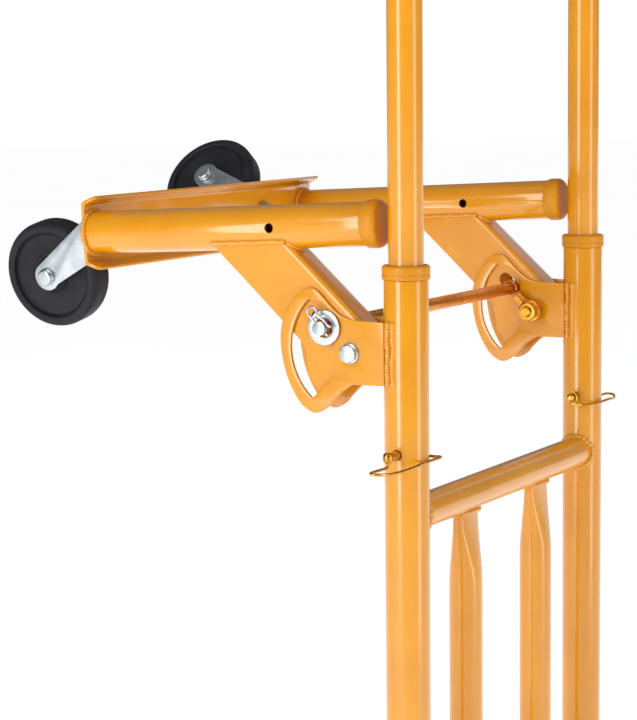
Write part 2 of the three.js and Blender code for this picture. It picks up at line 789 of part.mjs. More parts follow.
// Stars: two three-armed plates round a hub, with a stub axle for each wheel
function spider() {
  const arms = [90, 210, 330].flatMap((deg) => {
    const tip = arc(STAR_REACH, 0, 15, -80, 80, 6);
    const waist = 60;
    const turn = THREE.MathUtils.degToRad(deg);
    const outline = [[20, -24], [waist, -15.5], ...tip, [waist, 15.5], [20, 24]];
    const c = Math.cos(turn);
    const n = Math.sin(turn);
    return outline.map(([a, b]) => [a * c - b * n, a * n + b * c]);
  });
  const plate = (x) => plateYZ(arms, x, x + SPIDER_THICK);
  const hub = pipeX(17, AXLE_R + 0.5, -SPIDER_IN - 1, SPIDER_IN + 1, 16);
  const stubs = [90, 210, 330].map((deg) => {
    const turn = THREE.MathUtils.degToRad(deg);
    const stub = join(
      barX(STUB_R, -SPIDER_IN - 1, SPIDER_IN + 1, 12),
      barX(9, SPIDER_IN + 1, SPIDER_IN + SPIDER_THICK + 6, 6),
      barX(9, -SPIDER_IN - SPIDER_THICK - 6, -SPIDER_IN - 1, 6),
    );
    return stub.translate(0, STAR_REACH * Math.cos(turn), STAR_REACH * Math.sin(turn));
  });
  const whole = join(plate(-SPIDER_IN - SPIDER_THICK), plate(SPIDER_IN), hub, ...stubs);
  return cut(whole, barX(AXLE_R + 0.2, -60, 60));
}

function starWheel() {
  const half = STAR_WHEEL_WIDE / 2;
  return turnedX([
    [STUB_R + 0.3, -half],
    [18, -half],
    [20, -half + 7],
    [50, -half + 7],
    [54, -half],
    [70, -half],
    [STAR_WHEEL_R, -half + 10],
    [STAR_WHEEL_R, half - 10],
    [70, half],
    [54, half],
    [50, half - 7],
    [20, half - 7],
    [18, half],
    [STUB_R + 0.3, half],
    [STUB_R + 0.3, -half],
  ], 16);
}

function axleCap() {
  const face = SPIDER_IN + SPIDER_THICK + 1.2;
  return turnedX([
    [AXLE_R + 0.15, face],
    [17, face],
    [17, face + 2],
    [13, face + 7],
    [0, face + 7],
    [0, face + 3.2],
    [AXLE_R + 0.15, face + 3.2],
    [AXLE_R + 0.15, face],
  ]);
}

for (const { side, sign } of SIDES) {
  const star = holder(trolley, sign * STAR_X, AXLE_Y, AXLE_Z);
  star.name = "star_group_" + side;
  star.scale.x = sign;
  add(star, "star_" + side, spider(), PAINT);
  add(star, "star_cap_" + side, axleCap(), AMBER_PLASTIC);
  const places = { top: 90, front: 210, rear: 330 };
  for (const [place, deg] of Object.entries(places)) {
    const turn = THREE.MathUtils.degToRad(deg);
    const spot = vec(0, STAR_REACH * Math.cos(turn), STAR_REACH * Math.sin(turn));
    add(star, "star_wheel_" + side + "_" + place, starWheel(), AMBER_PLASTIC).position.copy(spot);
  }
}

export default trolley;
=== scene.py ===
import math

import bmesh
import bpy
from mathutils import Matrix, Vector, noise


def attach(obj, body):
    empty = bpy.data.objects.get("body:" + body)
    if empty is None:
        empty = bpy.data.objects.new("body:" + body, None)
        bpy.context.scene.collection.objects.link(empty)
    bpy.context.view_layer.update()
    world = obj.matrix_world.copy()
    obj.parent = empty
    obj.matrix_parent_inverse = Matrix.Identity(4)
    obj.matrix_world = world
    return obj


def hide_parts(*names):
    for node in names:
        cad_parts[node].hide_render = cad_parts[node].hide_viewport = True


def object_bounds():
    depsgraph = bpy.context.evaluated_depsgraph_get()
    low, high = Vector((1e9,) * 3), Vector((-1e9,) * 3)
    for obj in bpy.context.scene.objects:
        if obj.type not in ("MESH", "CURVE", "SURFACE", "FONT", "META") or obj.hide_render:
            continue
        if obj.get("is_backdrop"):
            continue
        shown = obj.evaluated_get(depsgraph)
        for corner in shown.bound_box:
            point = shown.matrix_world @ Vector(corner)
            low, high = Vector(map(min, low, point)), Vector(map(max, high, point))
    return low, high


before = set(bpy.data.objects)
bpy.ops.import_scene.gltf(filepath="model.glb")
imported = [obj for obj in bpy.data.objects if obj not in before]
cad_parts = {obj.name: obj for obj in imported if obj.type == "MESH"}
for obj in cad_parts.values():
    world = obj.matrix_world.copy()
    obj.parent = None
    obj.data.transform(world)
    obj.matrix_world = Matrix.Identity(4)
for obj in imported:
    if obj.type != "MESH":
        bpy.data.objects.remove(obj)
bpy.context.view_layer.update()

MM = 0.001

# Sizes of the trolley in millimetres, as in the CAD model
SEAM = 0.3
SIDE_X, UPRIGHT_R, UPRIGHT_WALL, UPRIGHT_TOP = 191.4, 19.0, 2.0, 811.0
COLLAR_R, COLLAR_HIGH = 20.4, 12.0
CROSSBAR_R, CROSSBAR_Z, LOWER_BAR_Z, CROSSBAR_WALL = 15.0, 609.5, 60.0, 2.0
SLAT_X, SLAT_R, SLAT_PRESSED_WIDE, SLAT_PRESSED_HALF, SLAT_TAPER = 77.0, 15.0, 37.6, 6.3, 68.0
SLAT_WALL = 1.8
TOE_THICK, TOE_HALF_X, TOE_BACK_Y, TOE_FRONT_Y, TOE_CORNER = 6.0, 207.0, 24.0, -262.0, 28.0
GUSSET_LONG, GUSSET_TOP = 90.0, 70.0
HANDLE_R, HANDLE_FOOT, HANDLE_BEND_Z, HANDLE_RAKE = 15.0, 606.0, 1186.0, math.radians(32)
HANDLE_BEND_R, HANDLE_RISE, HANDLE_CORNER_R = 120.0, 70.0, 55.0
HANDLE_WALL, HANDLE_SLIDE = 1.8, 150.0
GRIP_X, GRIP_R, GRIP_HALF = 72.0, 18.5, 52.5
PIVOT_Y, PIVOT_Z, DROOP = 44.0, 748.5, math.radians(2.9)
BRACKET_IN, BRACKET_OUT, BOLT_R = 15.5, 18.5, 5.0
WINDOW_R, WINDOW_CENTRE_Z = 57.0, 3.5
AXLE_PLATE_IN, AXLE_PLATE_THICK = 19.3, 5.0
TUBE_RISE, TUBE_R, TUBE_WALL, CAP_FACE_Y, CAP_LIP, CAP_R = 107.5, 19.0, 2.0, -28.9, 13.7, 20.5
PLATE_FRONT_Y, PLATE_THICK, PLATE_HALF_X = 265.0, 3.0, 206.0
PLATE_HALF_Z, PLATE_FLANGE, PLATE_FLARE = 28.0, 13.0, 5.4
CROSS_HOLE_R, CROSS_HOLE_Y = 4.25, 72.0
ARM_ANGLE, ARM_HALF, ARM_THICK, ARM_P, ARM_EYE_R = math.radians(45), 15.0, 2.5, 26.0, 24.0
ROD_REACH, ROD_R, ROD_TRAVEL = 31.5, 6.0, 12.0
CASTOR_X = {"right": -158.0, "left": 108.0}
CASTOR_R, CASTOR_WIDE = 50.0, 28.0
CASTOR_DROP, CASTOR_TRAIL, FORK_HALF, FORK_THICK = 69.0, 38.0, 19.0, 2.5
SWIVEL = {"right": math.radians(10), "left": math.radians(143)}
AXLE_Y, AXLE_Z, AXLE_R = 33.0, 130.0, 10.0
STAR_X, STAR_REACH, STAR_WHEEL_R, STAR_WHEEL_WIDE = 237.0, 100.0, 80.0, 36.0
STUB_R, SPIDER_THICK, SPIDER_IN = 6.0, 3.0, 19.5
PIN_Z, PIN_R, PIN_HEAD, WIRE_R = 665.0, 4.0, 31.0, 1.3
ROD_END, CLIP_X, BARE_TIP = SIDE_X + 31, SIDE_X + 26.5, 9.0
SIDES = (("right", -1), ("left", 1))
STAR_ARMS = (("top", 90), ("front", 210), ("rear", 330))
WELD_SMOOTH = 60


# ---------------------------------------------------------------- materials

class Nodes:
    """Small helper for building one procedural material."""

    def __init__(self, name):
        self.material = bpy.data.materials.new(name)
        self.material.use_nodes = True
        self.tree = self.material.node_tree
        self.tree.nodes.clear()
        self.out = self.add("ShaderNodeOutputMaterial")
        self.shader = self.add("ShaderNodeBsdfPrincipled")
        self.link(self.shader, "BSDF", self.out, "Surface")
        self.coords = self.add("ShaderNodeTexCoord")

    def add(self, kind, **values):
        node = self.tree.nodes.new(kind)
        for key, value in values.items():
            setattr(node, key, value)
        return node

    def link(self, a, a_socket, b, b_socket):
        self.tree.links.new(a.outputs[a_socket], b.inputs[b_socket])

    def noise(self, scale, detail=4.0, rough=0.55, stretch=None):
        node = self.add("ShaderNodeTexNoise")
        node.inputs["Scale"].default_value = scale
        node.inputs["Detail"].default_value = detail
        node.inputs["Roughness"].default_value = rough
        if stretch:
            mapping = self.add("ShaderNodeMapping")
            mapping.inputs["Scale"].default_value = stretch
            self.link(self.coords, "Object", mapping, "Vector")
            self.link(mapping, "Vector", node, "Vector")
        else:
            self.link(self.coords, "Object", node, "Vector")
        return node

    def ramp(self, source, socket, stops):
        node = self.add("ShaderNodeValToRGB")
        while len(node.color_ramp.elements) < len(stops):
            node.color_ramp.elements.new(0.5)
        for element, (place, colour) in zip(node.color_ramp.elements, stops):
            element.position = place
            element.color = (*colour, 1.0)
        self.link(source, socket, node, "Fac")
        return node

    def span(self, source, socket, low, high, from_low=0.0, from_high=1.0):
        node = self.add("ShaderNodeMapRange")
        node.inputs["From Min"].default_value = from_low
        node.inputs["From Max"].default_value = from_high
        node.inputs["To Min"].default_value = low
        node.inputs["To Max"].default_value = high
        self.link(source, socket, node, "Value")
        return node

    def mix(self, a, b, factor, factor_socket):
        node = self.add("ShaderNodeMix", data_type="RGBA")
        self.tree.links.new(factor.outputs[factor_socket], node.inputs[0])
        self.tree.links.new(a, node.inputs[6])
        self.tree.links.new(b, node.inputs[7])
        return node.outputs[2]

    def bump(self, source, socket, distance, strength=1.0, after=None):
        node = self.add("ShaderNodeBump")
        node.inputs["Distance"].default_value = distance
        node.inputs["Strength"].default_value = strength
        self.link(source, socket, node, "Height")
        if after:
            self.link(after, "Normal", node, "Normal")
        return node

    def edge_normal(self, radius, samples=4):
        """Softens hard edges in the shading, as paint or moulding does."""
        node = self.add("ShaderNodeBevel", samples=samples)
        node.inputs["Radius"].default_value = radius
        return node

    def paint(self, colour, roughness, **constants):
        """Connects colour and roughness to the shader and sets its constant inputs."""
        self.tree.links.new(colour, self.shader.inputs["Base Color"])
        self.link(roughness, "Result", self.shader, "Roughness")
        for key, value in constants.items():
            self.shader.inputs[key.replace("_", " ")].default_value = value

    def finish(self, normal):
        self.link(normal, "Normal", self.shader, "Normal")
        return self.material


def rgb(red, green, blue):
    """Screen colour 0-255 to linear."""
    def channel(v):
        v /= 255.0
        return v / 12.92 if v <= 0.04045 else ((v + 0.055) / 1.055) ** 2.4
    return channel(red), channel(green), channel(blue)


def scaled(colour, factor, lift=0.0):
    return tuple(min(c * factor + lift, 1) for c in colour)


def grey_mask(n, place_low, place_high, source, socket):
    return n.ramp(source, socket, [(place_low, (0, 0, 0)), (place_high, (1, 1, 1))])


def paint_material(name, base, light, dark):
    """Powder coat: fine orange peel, faint colour drift, dust in the texture, rubbed edges."""
    n = Nodes(name)
    drift = n.noise(14.0, 3.0)
    tone = n.ramp(drift, "Fac", [(0.3, dark), (0.5, base), (0.72, light)])
    speck = n.noise(900.0, 2.0)
    speck_mask = grey_mask(n, 0.66, 0.74, speck, "Fac")
    speck_tone = n.ramp(drift, "Fac", [(0.0, scaled(dark, 0.8)), (1.0, scaled(dark, 0.9))])
    colour = n.mix(tone.outputs["Color"], speck_tone.outputs["Color"], speck_mask, "Color")
    geometry = n.add("ShaderNodeNewGeometry")
    edges = n.span(geometry, "Pointiness", 0.0, 0.6, 0.56, 0.66)
    patch = n.noise(60.0, 5.0, 0.65)
    patch_mask = grey_mask(n, 0.55, 0.66, patch, "Fac")
    wear = n.add("ShaderNodeMath", operation="MULTIPLY")
    n.link(edges, "Result", wear, 0)
    n.link(patch_mask, "Color", wear, 1)
    worn = n.ramp(drift, "Fac", [(0.0, scaled(light, 1.12, 0.01)), (1.0, light)])
    colour = n.mix(colour, worn.outputs["Color"], wear, "Value")
    rough = n.span(n.noise(7.0, 4.0), "Fac", 0.26, 0.38, 0.3, 0.7)
    n.paint(colour, rough, Specular_IOR_Level=0.30, Coat_Weight=1.0, Coat_Roughness=0.11)
    peel = n.noise(420.0, 2.0)
    wave = n.noise(38.0, 2.0)
    soft = n.edge_normal(0.0007)
    first = n.bump(peel, "Fac", 0.00004, 0.45, soft)
    return n.finish(n.bump(wave, "Fac", 0.0003, 0.22, first))


def plastic_material(name, base, dark, rough_low, rough_high, grain=700.0, grain_depth=0.00005, shine=0.32):
    """Moulded plastic or rubber: cloudy tone, pale scuffs and a fine grain."""
    n = Nodes(name)
    cloud = n.noise(30.0, 4.0)
    tone = n.ramp(cloud, "Fac", [(0.32, dark), (0.62, base)])
    scuff = n.noise(120.0, 6.0, 0.7, (1.0, 0.25, 1.0))
    scuff_mask = grey_mask(n, 0.60, 0.70, scuff, "Fac")
    pale = n.ramp(cloud, "Fac", [(0.0, scaled(base, 1.5, 0.01)), (1.0, base)])
    colour = n.mix(tone.outputs["Color"], pale.outputs["Color"], scuff_mask, "Color")
    rough = n.span(scuff, "Fac", rough_low, rough_high, 0.3, 0.75)
    n.paint(colour, rough, Specular_IOR_Level=shine)
    fine = n.noise(grain, 2.0)
    soft = n.edge_normal(0.0005)
    return n.finish(n.bump(fine, "Fac", grain_depth, 0.8, soft))


def metal_material(name, base, tint, rough_low, rough_high, streak=(1.0, 1.0, 14.0)):
    """Plated steel: bright metal with rolled streaks, cloudy plating and fine scratches."""
    n = Nodes(name)
    cloud = n.noise(55.0, 5.0, 0.6)
    tone = n.ramp(cloud, "Fac", [(0.3, tint), (0.68, base)])
    grain = n.noise(260.0, 4.0, 0.6, streak)
    spots = n.add("ShaderNodeTexVoronoi")
    spots.inputs["Scale"].default_value = 240.0
    n.link(n.coords, "Object", spots, "Vector")
    dull = n.ramp(spots, "Distance", [(0.05, scaled(tint, 0.72)), (0.16, tint)])
    spot_mask = grey_mask(n, 0.62, 0.72, cloud, "Fac")
    colour = n.mix(tone.outputs["Color"], dull.outputs["Color"], spot_mask, "Color")
    rough = n.span(grain, "Fac", rough_low, rough_high, 0.25, 0.75)
    n.paint(colour, rough, Metallic=1.0)
    soft = n.edge_normal(0.0004)
    first = n.bump(grain, "Fac", 0.00003, 0.7, soft)
    return n.finish(n.bump(cloud, "Fac", 0.0002, 0.15, first))


PAINT = paint_material("orange_powder_coat", rgb(222, 147, 6), rgb(227, 152, 9), rgb(216, 140, 5))
AMBER = plastic_material("amber_plastic", rgb(216, 142, 12), rgb(202, 130, 8), 0.30, 0.48)
AMBER_WHEEL = plastic_material("amber_tyre", rgb(196, 128, 36), rgb(172, 104, 22), 0.42, 0.66, 500.0, 0.00008)
ZINC = metal_material("bright_zinc", rgb(206, 212, 216), rgb(172, 180, 186), 0.22, 0.42)
AMBER_METAL = metal_material("tinted_zinc", rgb(238, 170, 78), rgb(206, 136, 44), 0.20, 0.38)
YELLOW_ZINC = metal_material("yellow_zinc", rgb(222, 168, 78), rgb(176, 120, 44), 0.16, 0.34,
                             (14.0, 1.0, 1.0))
CHARCOAL = plastic_material("charcoal_tyre", rgb(37, 37, 43), rgb(26, 26, 31), 0.46, 0.72, 420.0, 0.00010,
                            0.22)
# Small fittings: plain zinc on the right side, tinted on the left
SIDE_METAL = {"right": ZINC, "left": AMBER_METAL}
GRIP = plastic_material("grip_rubber", rgb(34, 34, 36), rgb(22, 22, 24), 0.55, 0.8, 600.0, 0.00012)


# ---------------------------------------------------------------- mesh tools

def move(x=0.0, y=0.0, z=0.0):
    return Matrix.Translation((x * MM, y * MM, z * MM))


def turn(angle, axis):
    return Matrix.Rotation(angle, 4, axis)


ALONG_X = turn(math.pi / 2, "Y")
ALONG_Y = turn(-math.pi / 2, "X")
BACK_X = turn(-math.pi / 2, "Y")


def linked(name, data):
    """A new object in the scene for mesh, curve, light or camera data."""
    obj = bpy.data.objects.new(name, data)
    bpy.context.scene.collection.objects.link(obj)
    return obj


def as_mesh(bm, name="part"):
    """The bmesh as mesh data; the bmesh is used up."""
    mesh = bpy.data.meshes.new(name)
    bm.to_mesh(mesh)
    bm.free()
    return mesh


def evaluated_bm(obj):
    """What an object's curve or modifiers make of it, as a bmesh."""
    graph = bpy.context.evaluated_depsgraph_get()
    mesh = bpy.data.meshes.new_from_object(obj.evaluated_get(graph))
    bm = bmesh.new()
    bm.from_mesh(mesh)
    bpy.data.meshes.remove(mesh)
    return bm


def discard(*objects):
    for obj in objects:
        data = obj.data
        bpy.data.objects.remove(obj)
        (bpy.data.curves if isinstance(data, bpy.types.Curve) else bpy.data.meshes).remove(data)


def piece(name, bm, body, material, place=None, stands_for=(), smooth_deg=35):
    """Turns a bmesh in millimetres into one scene object that rides on a body."""
    bmesh.ops.remove_doubles(bm, verts=bm.verts, dist=0.002)
    bmesh.ops.recalc_face_normals(bm, faces=bm.faces)
    bmesh.ops.scale(bm, vec=(MM, MM, MM), verts=bm.verts)
    if place is not None:
        bm.transform(place)
        if place.to_3x3().determinant() < 0:
            bmesh.ops.reverse_faces(bm, faces=bm.faces)
    mesh = as_mesh(bm, name)
    obj = linked(name, mesh)
    mesh.materials.append(material)
    for polygon in mesh.polygons:
        polygon.use_smooth = True
    mesh.set_sharp_from_angle(angle=math.radians(smooth_deg))
    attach(obj, body)
    if stands_for:
        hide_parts(*stands_for)


def painted(name, bm, body, place, *nodes, smooth_deg=35):
    """A piece in the orange paint that stands for CAD nodes."""
    piece(name, bm, body, PAINT, place, nodes, smooth_deg)


def weld(name, beads, body, place=None):
    piece(name, beads, body, PAINT, place, smooth_deg=WELD_SMOOTH)


def merged(*parts):
    """One bmesh holding several."""
    whole = bmesh.new()
    for part in parts:
        mesh = as_mesh(part)
        whole.from_mesh(mesh)
        bpy.data.meshes.remove(mesh)
    return whole


def shifted(bm, matrix):
    """Moves a bmesh in millimetres by a matrix in metres."""
    scaled = matrix.copy()
    scaled.translation = matrix.translation / MM
    bm.transform(scaled)
    return bm


def rings_mesh(rings, closed_path=False, cap_ends=True):
    """Skin over rings of points that all have the same count."""
    bm = bmesh.new()
    made = [[bm.verts.new(p) for p in ring] for ring in rings]
    count = len(made[0])
    pairs = list(zip(made, made[1:])) + ([(made[-1], made[0])] if closed_path else [])
    for a, b in pairs:
        for i in range(count):
            j = (i + 1) % count
            bm.faces.new((a[i], a[j], b[j], b[i]))
    if cap_ends and not closed_path:
        bm.faces.new(list(reversed(made[0])))
        bm.faces.new(made[-1])
    return bm


def revolve(profile, segments=72):
    """Turned shape about Z. Profile of (radius, height); it may close on itself or end on the axis."""
    closed = profile[0] == profile[-1]
    points = profile[:-1] if closed else profile
    bm = bmesh.new()
    columns = []
    for k in range(segments):
        a = 2 * math.pi * k / segments
        columns.append([bm.verts.new((r * math.cos(a), r * math.sin(a), z)) for r, z in points])
    for k in range(segments):
        a, b = columns[k], columns[(k + 1) % segments]
        last = len(points) if closed else len(points) - 1
        for i in range(last):
            j = (i + 1) % len(points)
            corners = [a[i], b[i], b[j], a[j]]
            if points[i][0] < 1e-6:
                corners = [a[i], b[j], a[j]]
            if points[j][0] < 1e-6:
                corners = [a[i], b[i], a[j]]
            bm.faces.new(corners)
    bmesh.ops.remove_doubles(bm, verts=bm.verts, dist=0.001)
    return bm


def mirrored(profile):
    """The points, then their mirror image in the second coordinate, in reverse order."""
    return profile + [(r, -z) for r, z in reversed(profile)]


def rounded(profile, radius, steps=4):
    """Rounds the inner corners of an open or closed polyline of 2D points."""
    closed = profile[0] == profile[-1]
    points = profile[:-1] if closed else profile
    result = []
    count = len(points)
    for i, corner in enumerate(points):
        if not closed and i in (0, count - 1):
            result.append(corner)
            continue
        here = Vector(corner)
        before = Vector(points[i - 1]) - here
        after = Vector(points[(i + 1) % count]) - here
        reach = min(radius, before.length * 0.45, after.length * 0.45)
        if before.length < 1e-6 or after.length < 1e-6 or before.angle(after) > math.radians(172):
            result.append(corner)
            continue
        start = here + before.normalized() * reach
        end = here + after.normalized() * reach
        for k in range(steps + 1):
            t = k / steps
            p = start * (1 - t) ** 2 + here * 2 * t * (1 - t) + end * t ** 2
            result.append((p.x, p.y))
    if closed:
        result.append(result[0])
    return result


def arc(cx, cy, radius, start, end, steps):
    """Points on an arc, angles in degrees."""
    angles = [math.radians(start + (end - start) * i / steps) for i in range(steps + 1)]
    return [(cx + radius * math.cos(a), cy + radius * math.sin(a)) for a in angles]


def sweep(points, radius, sides=16, cap=True):
    """Round section carried along an open path without twisting. radius may be a list."""
    pts = [Vector(p) for p in points]
    count = len(pts)
    tangents = []
    for i in range(count):
        tangents.append((pts[min(i + 1, count - 1)] - pts[max(i - 1, 0)]).normalized())
    guide = Vector((1, 0, 0)) if abs(tangents[0].x) < 0.8 else Vector((0, 1, 0))
    normal = (guide - tangents[0] * guide.dot(tangents[0])).normalized()
    rings = []
    for i in range(count):
        normal = (normal - tangents[i] * normal.dot(tangents[i])).normalized()
        other = tangents[i].cross(normal)
        r = radius[i] if isinstance(radius, (list, tuple)) else radius
        angles = [2 * math.pi * k / sides for k in range(sides)]
        rings.append([pts[i] + normal * (r * math.cos(a)) + other * (r * math.sin(a)) for a in angles])
    return rings_mesh(rings, cap_ends=cap)


def smooth_path(points, per_span=6):
    """Catmull-Rom curve through the points."""
    pts = [Vector(p) for p in points]
    pts = [pts[0] * 2 - pts[1]] + pts + [pts[-1] * 2 - pts[-2]]
    result = []
    for i in range(1, len(pts) - 2):
        a, b, c, d = pts[i - 1:i + 3]
        for k in range(per_span):
            t = k / per_span
            square = (2 * a - 5 * b + 4 * c - d) * t * t
            cube = (3 * b - a - 3 * c + d) * t ** 3
            result.append(0.5 * ((2 * b) + (c - a) * t + square + cube))
    result.append(pts[-2])
    return result


def plate(outline, low, high, holes=(), bevel=0.5, plane="YZ"):
    """Sheet-metal plate with rounded edges, from a curve that is filled, thickened and turned into a mesh."""
    curve = bpy.data.curves.new("plate", "CURVE")
    curve.dimensions = "2D"
    curve.fill_mode = "BOTH"
    curve.extrude = (high - low) / 2 - bevel
    curve.bevel_depth = bevel
    curve.bevel_resolution = 2
    curve.offset = -bevel
    for loop in (outline, *holes):
        spline = curve.splines.new("POLY")
        spline.points.add(len(loop) - 1)
        for point, (u, v) in zip(spline.points, loop):
            point.co = (u, v, 0, 1)
        spline.use_cyclic_u = True
    holder = linked("plate", curve)
    bm = evaluated_bm(holder)
    discard(holder)
    bmesh.ops.remove_doubles(bm, verts=bm.verts, dist=0.01)
    bm.transform(Matrix.Translation((0, 0, (low + high) / 2)))
    if plane == "YZ":
        bm.transform(Matrix(((0, 0, 1, 0), (1, 0, 0, 0), (0, 1, 0, 0), (0, 0, 0, 1))))
    return bm


def boolean(target, tools, operation="DIFFERENCE"):
    """Exact boolean on bmeshes in millimetres."""
    def as_object(bm):
        bmesh.ops.remove_doubles(bm, verts=bm.verts, dist=0.002)
        bmesh.ops.recalc_face_normals(bm, faces=bm.faces)
        return linked("solid", as_mesh(bm))
    base = as_object(target)
    cutters = [as_object(tool) for tool in tools]
    for cutter in cutters:
        modifier = base.modifiers.new("cut", "BOOLEAN")
        modifier.operation = operation
        modifier.object = cutter
        modifier.solver = "EXACT"
    bm = evaluated_bm(base)
    discard(base, *cutters)
    return bm


def turned(profile, soft, steps=4, segments=72):
    """Turned shape from a profile whose corners are rounded first."""
    return revolve(rounded(profile, soft, steps), segments)


def rod_bm(radius, low, high, chamfer=0.0, segments=48):
    profile = [(0, low), (radius - chamfer, low), (radius, low + chamfer), (radius, high - chamfer),
               (radius - chamfer, high), (0, high)]
    return revolve(profile, segments)


def pipe_bm(outer, inner, low, high, segments=96, soft=0.4):
    ring = [(inner, low), (outer, low), (outer, high), (inner, high), (inner, low)]
    return revolve(rounded(ring, soft, 3), segments)


def hexagon_bm(across, height, chamfer_r=None, bore=0.0, segments=72):
    """Hexagon head or nut standing on Z = 0, its top corners chamfered to a circle."""
    apothem = across / 2
    top_r = chamfer_r or apothem * 0.98
    bm = bmesh.new()
    columns = []
    for k in range(segments):
        a = 2 * math.pi * k / segments
        hex_r = apothem / math.cos((a % (math.pi / 3)) - math.pi / 6)
        fall = max(0.0, hex_r - top_r) * 0.58
        column = [(bore, 0.0), (hex_r, 0.0), (hex_r, height - fall - 0.15),
                  (min(hex_r, top_r + 0.15), height - min(fall, 0.1)), (top_r - 0.3, height),
                  (bore + 0.4 if bore else 0.0, height)]
        if bore:
            column.append((bore, height - 0.5))
        columns.append([bm.verts.new((r * math.cos(a), r * math.sin(a), z)) for r, z in column])
    for k in range(segments):
        a, b = columns[k], columns[(k + 1) % segments]
        spans = range(len(a)) if bore else range(len(a) - 1)
        for i in spans:
            j = (i + 1) % len(a)
            bm.faces.new((a[i], b[i], b[j], a[j]))
    bmesh.ops.remove_doubles(bm, verts=bm.verts, dist=0.001)
    bmesh.ops.dissolve_degenerate(bm, edges=bm.edges, dist=0.001)
    return bm


def thread_bm(radius, low, high, pitch=1.5, segments=36):
    """Threaded shank end, its crests as shallow rings."""
    profile = [(0, low), (radius - 0.9, low)]
    z = low + 0.4
    while z < high - pitch:
        profile += [(radius - 0.75, z), (radius, z + pitch * 0.45), (radius, z + pitch * 0.6)]
        z += pitch
    profile += [(radius - 0.75, z), (radius - 0.4, high), (0, high)]
    return revolve(profile, segments)


def washer_bm(outer, inner, low, high, segments=64):
    return pipe_bm(outer, inner, low, high, segments, soft=0.5)


def bead_bm(path, radius, seed=0, pitch=3.2):
    """Weld bead: a ridge along a path with the overlapping ripples that a hand torch leaves."""
    pts = [Vector(p) for p in path]
    lengths = [0.0]
    for a, b in zip(pts, pts[1:]):
        lengths.append(lengths[-1] + (b - a).length)
    total = lengths[-1]
    count = max(8, int(total / 0.55))
    dense = []
    index = 0
    for k in range(count + 1):
        s = total * k / count
        while index < len(pts) - 2 and lengths[index + 1] < s:
            index += 1
        span = max(lengths[index + 1] - lengths[index], 1e-9)
        dense.append(pts[index].lerp(pts[index + 1], (s - lengths[index]) / span))
    radii = []
    for k in range(count + 1):
        s = total * k / count
        ripple = abs(math.sin(math.pi * s / pitch + seed))
        drift = noise.noise(Vector((s * 0.16, seed * 7.1, 0.0)))
        end = min(1.0, 0.35 + min(s, total - s) / 3.0)
        radii.append(radius * (0.80 + 0.22 * ripple + 0.22 * drift) * end)
    return sweep(dense, radii, sides=12)


def softened(bm, width=0.5, angle=38, segments=2):
    """Rounds the sharp edges of a finished shape, as blanked and painted sheet has them."""
    bmesh.ops.remove_doubles(bm, verts=bm.verts, dist=0.004)
    obj = linked("soft", as_mesh(bm))
    modifier = obj.modifiers.new("round", "BEVEL")
    modifier.width = width
    modifier.segments = segments
    modifier.limit_method = "ANGLE"
    modifier.angle_limit = math.radians(angle)
    modifier.use_clamp_overlap = True
    out = evaluated_bm(obj)
    discard(obj)
    return out


def prism_x(outline, x0, x1):
    """Straight prism across X from corners in (y, z)."""
    return rings_mesh([[(x0, y, z) for y, z in outline], [(x1, y, z) for y, z in outline]])


def box_bm(x0, x1, y0, y1, z0, z1):
    return prism_x([(y0, z0), (y1, z0), (y1, z1), (y0, z1)], x0, x1)


def bar_along(axis, radius, low, high, centre=(0, 0, 0), segments=48):
    turned = {"X": ALONG_X, "Y": ALONG_Y, "Z": Matrix.Identity(4)}[axis]
    return shifted(rod_bm(radius, low, high, 0.0, segments), move(*centre) @ turned)


SUPPORT = move(0, PIVOT_Y, PIVOT_Z) @ turn(-DROOP, "X")
ROD_PLACE = move(0, ROD_REACH * math.cos(ARM_ANGLE), ROD_REACH * math.sin(ARM_ANGLE))
LOCK = SUPPORT @ ROD_PLACE @ turn(ARM_ANGLE, "X")
MIRROR = {-1: Matrix.Scale(-1, 4, (1, 0, 0)), 1: Matrix.Identity(4)}

# ---------------------------------------------------------------- frame

for side, sign in SIDES:
    post = move(sign * SIDE_X)
    tube = pipe_bm(UPRIGHT_R, UPRIGHT_R - UPRIGHT_WALL, TOE_THICK + SEAM, UPRIGHT_TOP, 96)
    tube = boolean(tube, [bar_along("X", PIN_R + 0.5, -30, 30, (0, 0, PIN_Z))])
    painted(f"tube_upright_{side}", tube, "frame", post, f"upright_{side}")

    low, r = UPRIGHT_TOP + SEAM, COLLAR_R
    bore, sleeve, top = HANDLE_R + SEAM, UPRIGHT_R - UPRIGHT_WALL - SEAM, UPRIGHT_TOP + SEAM + COLLAR_HIGH
    ring = [(bore, low - 22), (sleeve, low - 22), (sleeve, low - 0.2), (r - 0.3, low), (r, low + 1.2),
            (r, low + 4.2), (r - 0.35, low + 4.6), (r - 0.35, low + 5.0), (r, low + 5.4), (r, low + 10.6),
            (r - 1.6, top), (bore + 1.2, top), (bore, low + 10.8), (bore, low - 22)]
    ring = turned(ring, 0.5, 3, 96)
    piece(f"ring_collar_{side}", ring, "frame", AMBER, post, [f"collar_{side}"])


def crossbar(z):
    """Tube between the uprights, its ends coped to sit against them."""
    bar = shifted(pipe_bm(CROSSBAR_R, CROSSBAR_R - CROSSBAR_WALL, -SIDE_X + 3, SIDE_X - 3, 96), ALONG_X)
    copes = [bar_along("Z", UPRIGHT_R - 0.9, -40, 40, (sign * SIDE_X, 0, 0), 96) for sign in (-1, 1)]
    return shifted(boolean(bar, copes), move(0, 0, z))


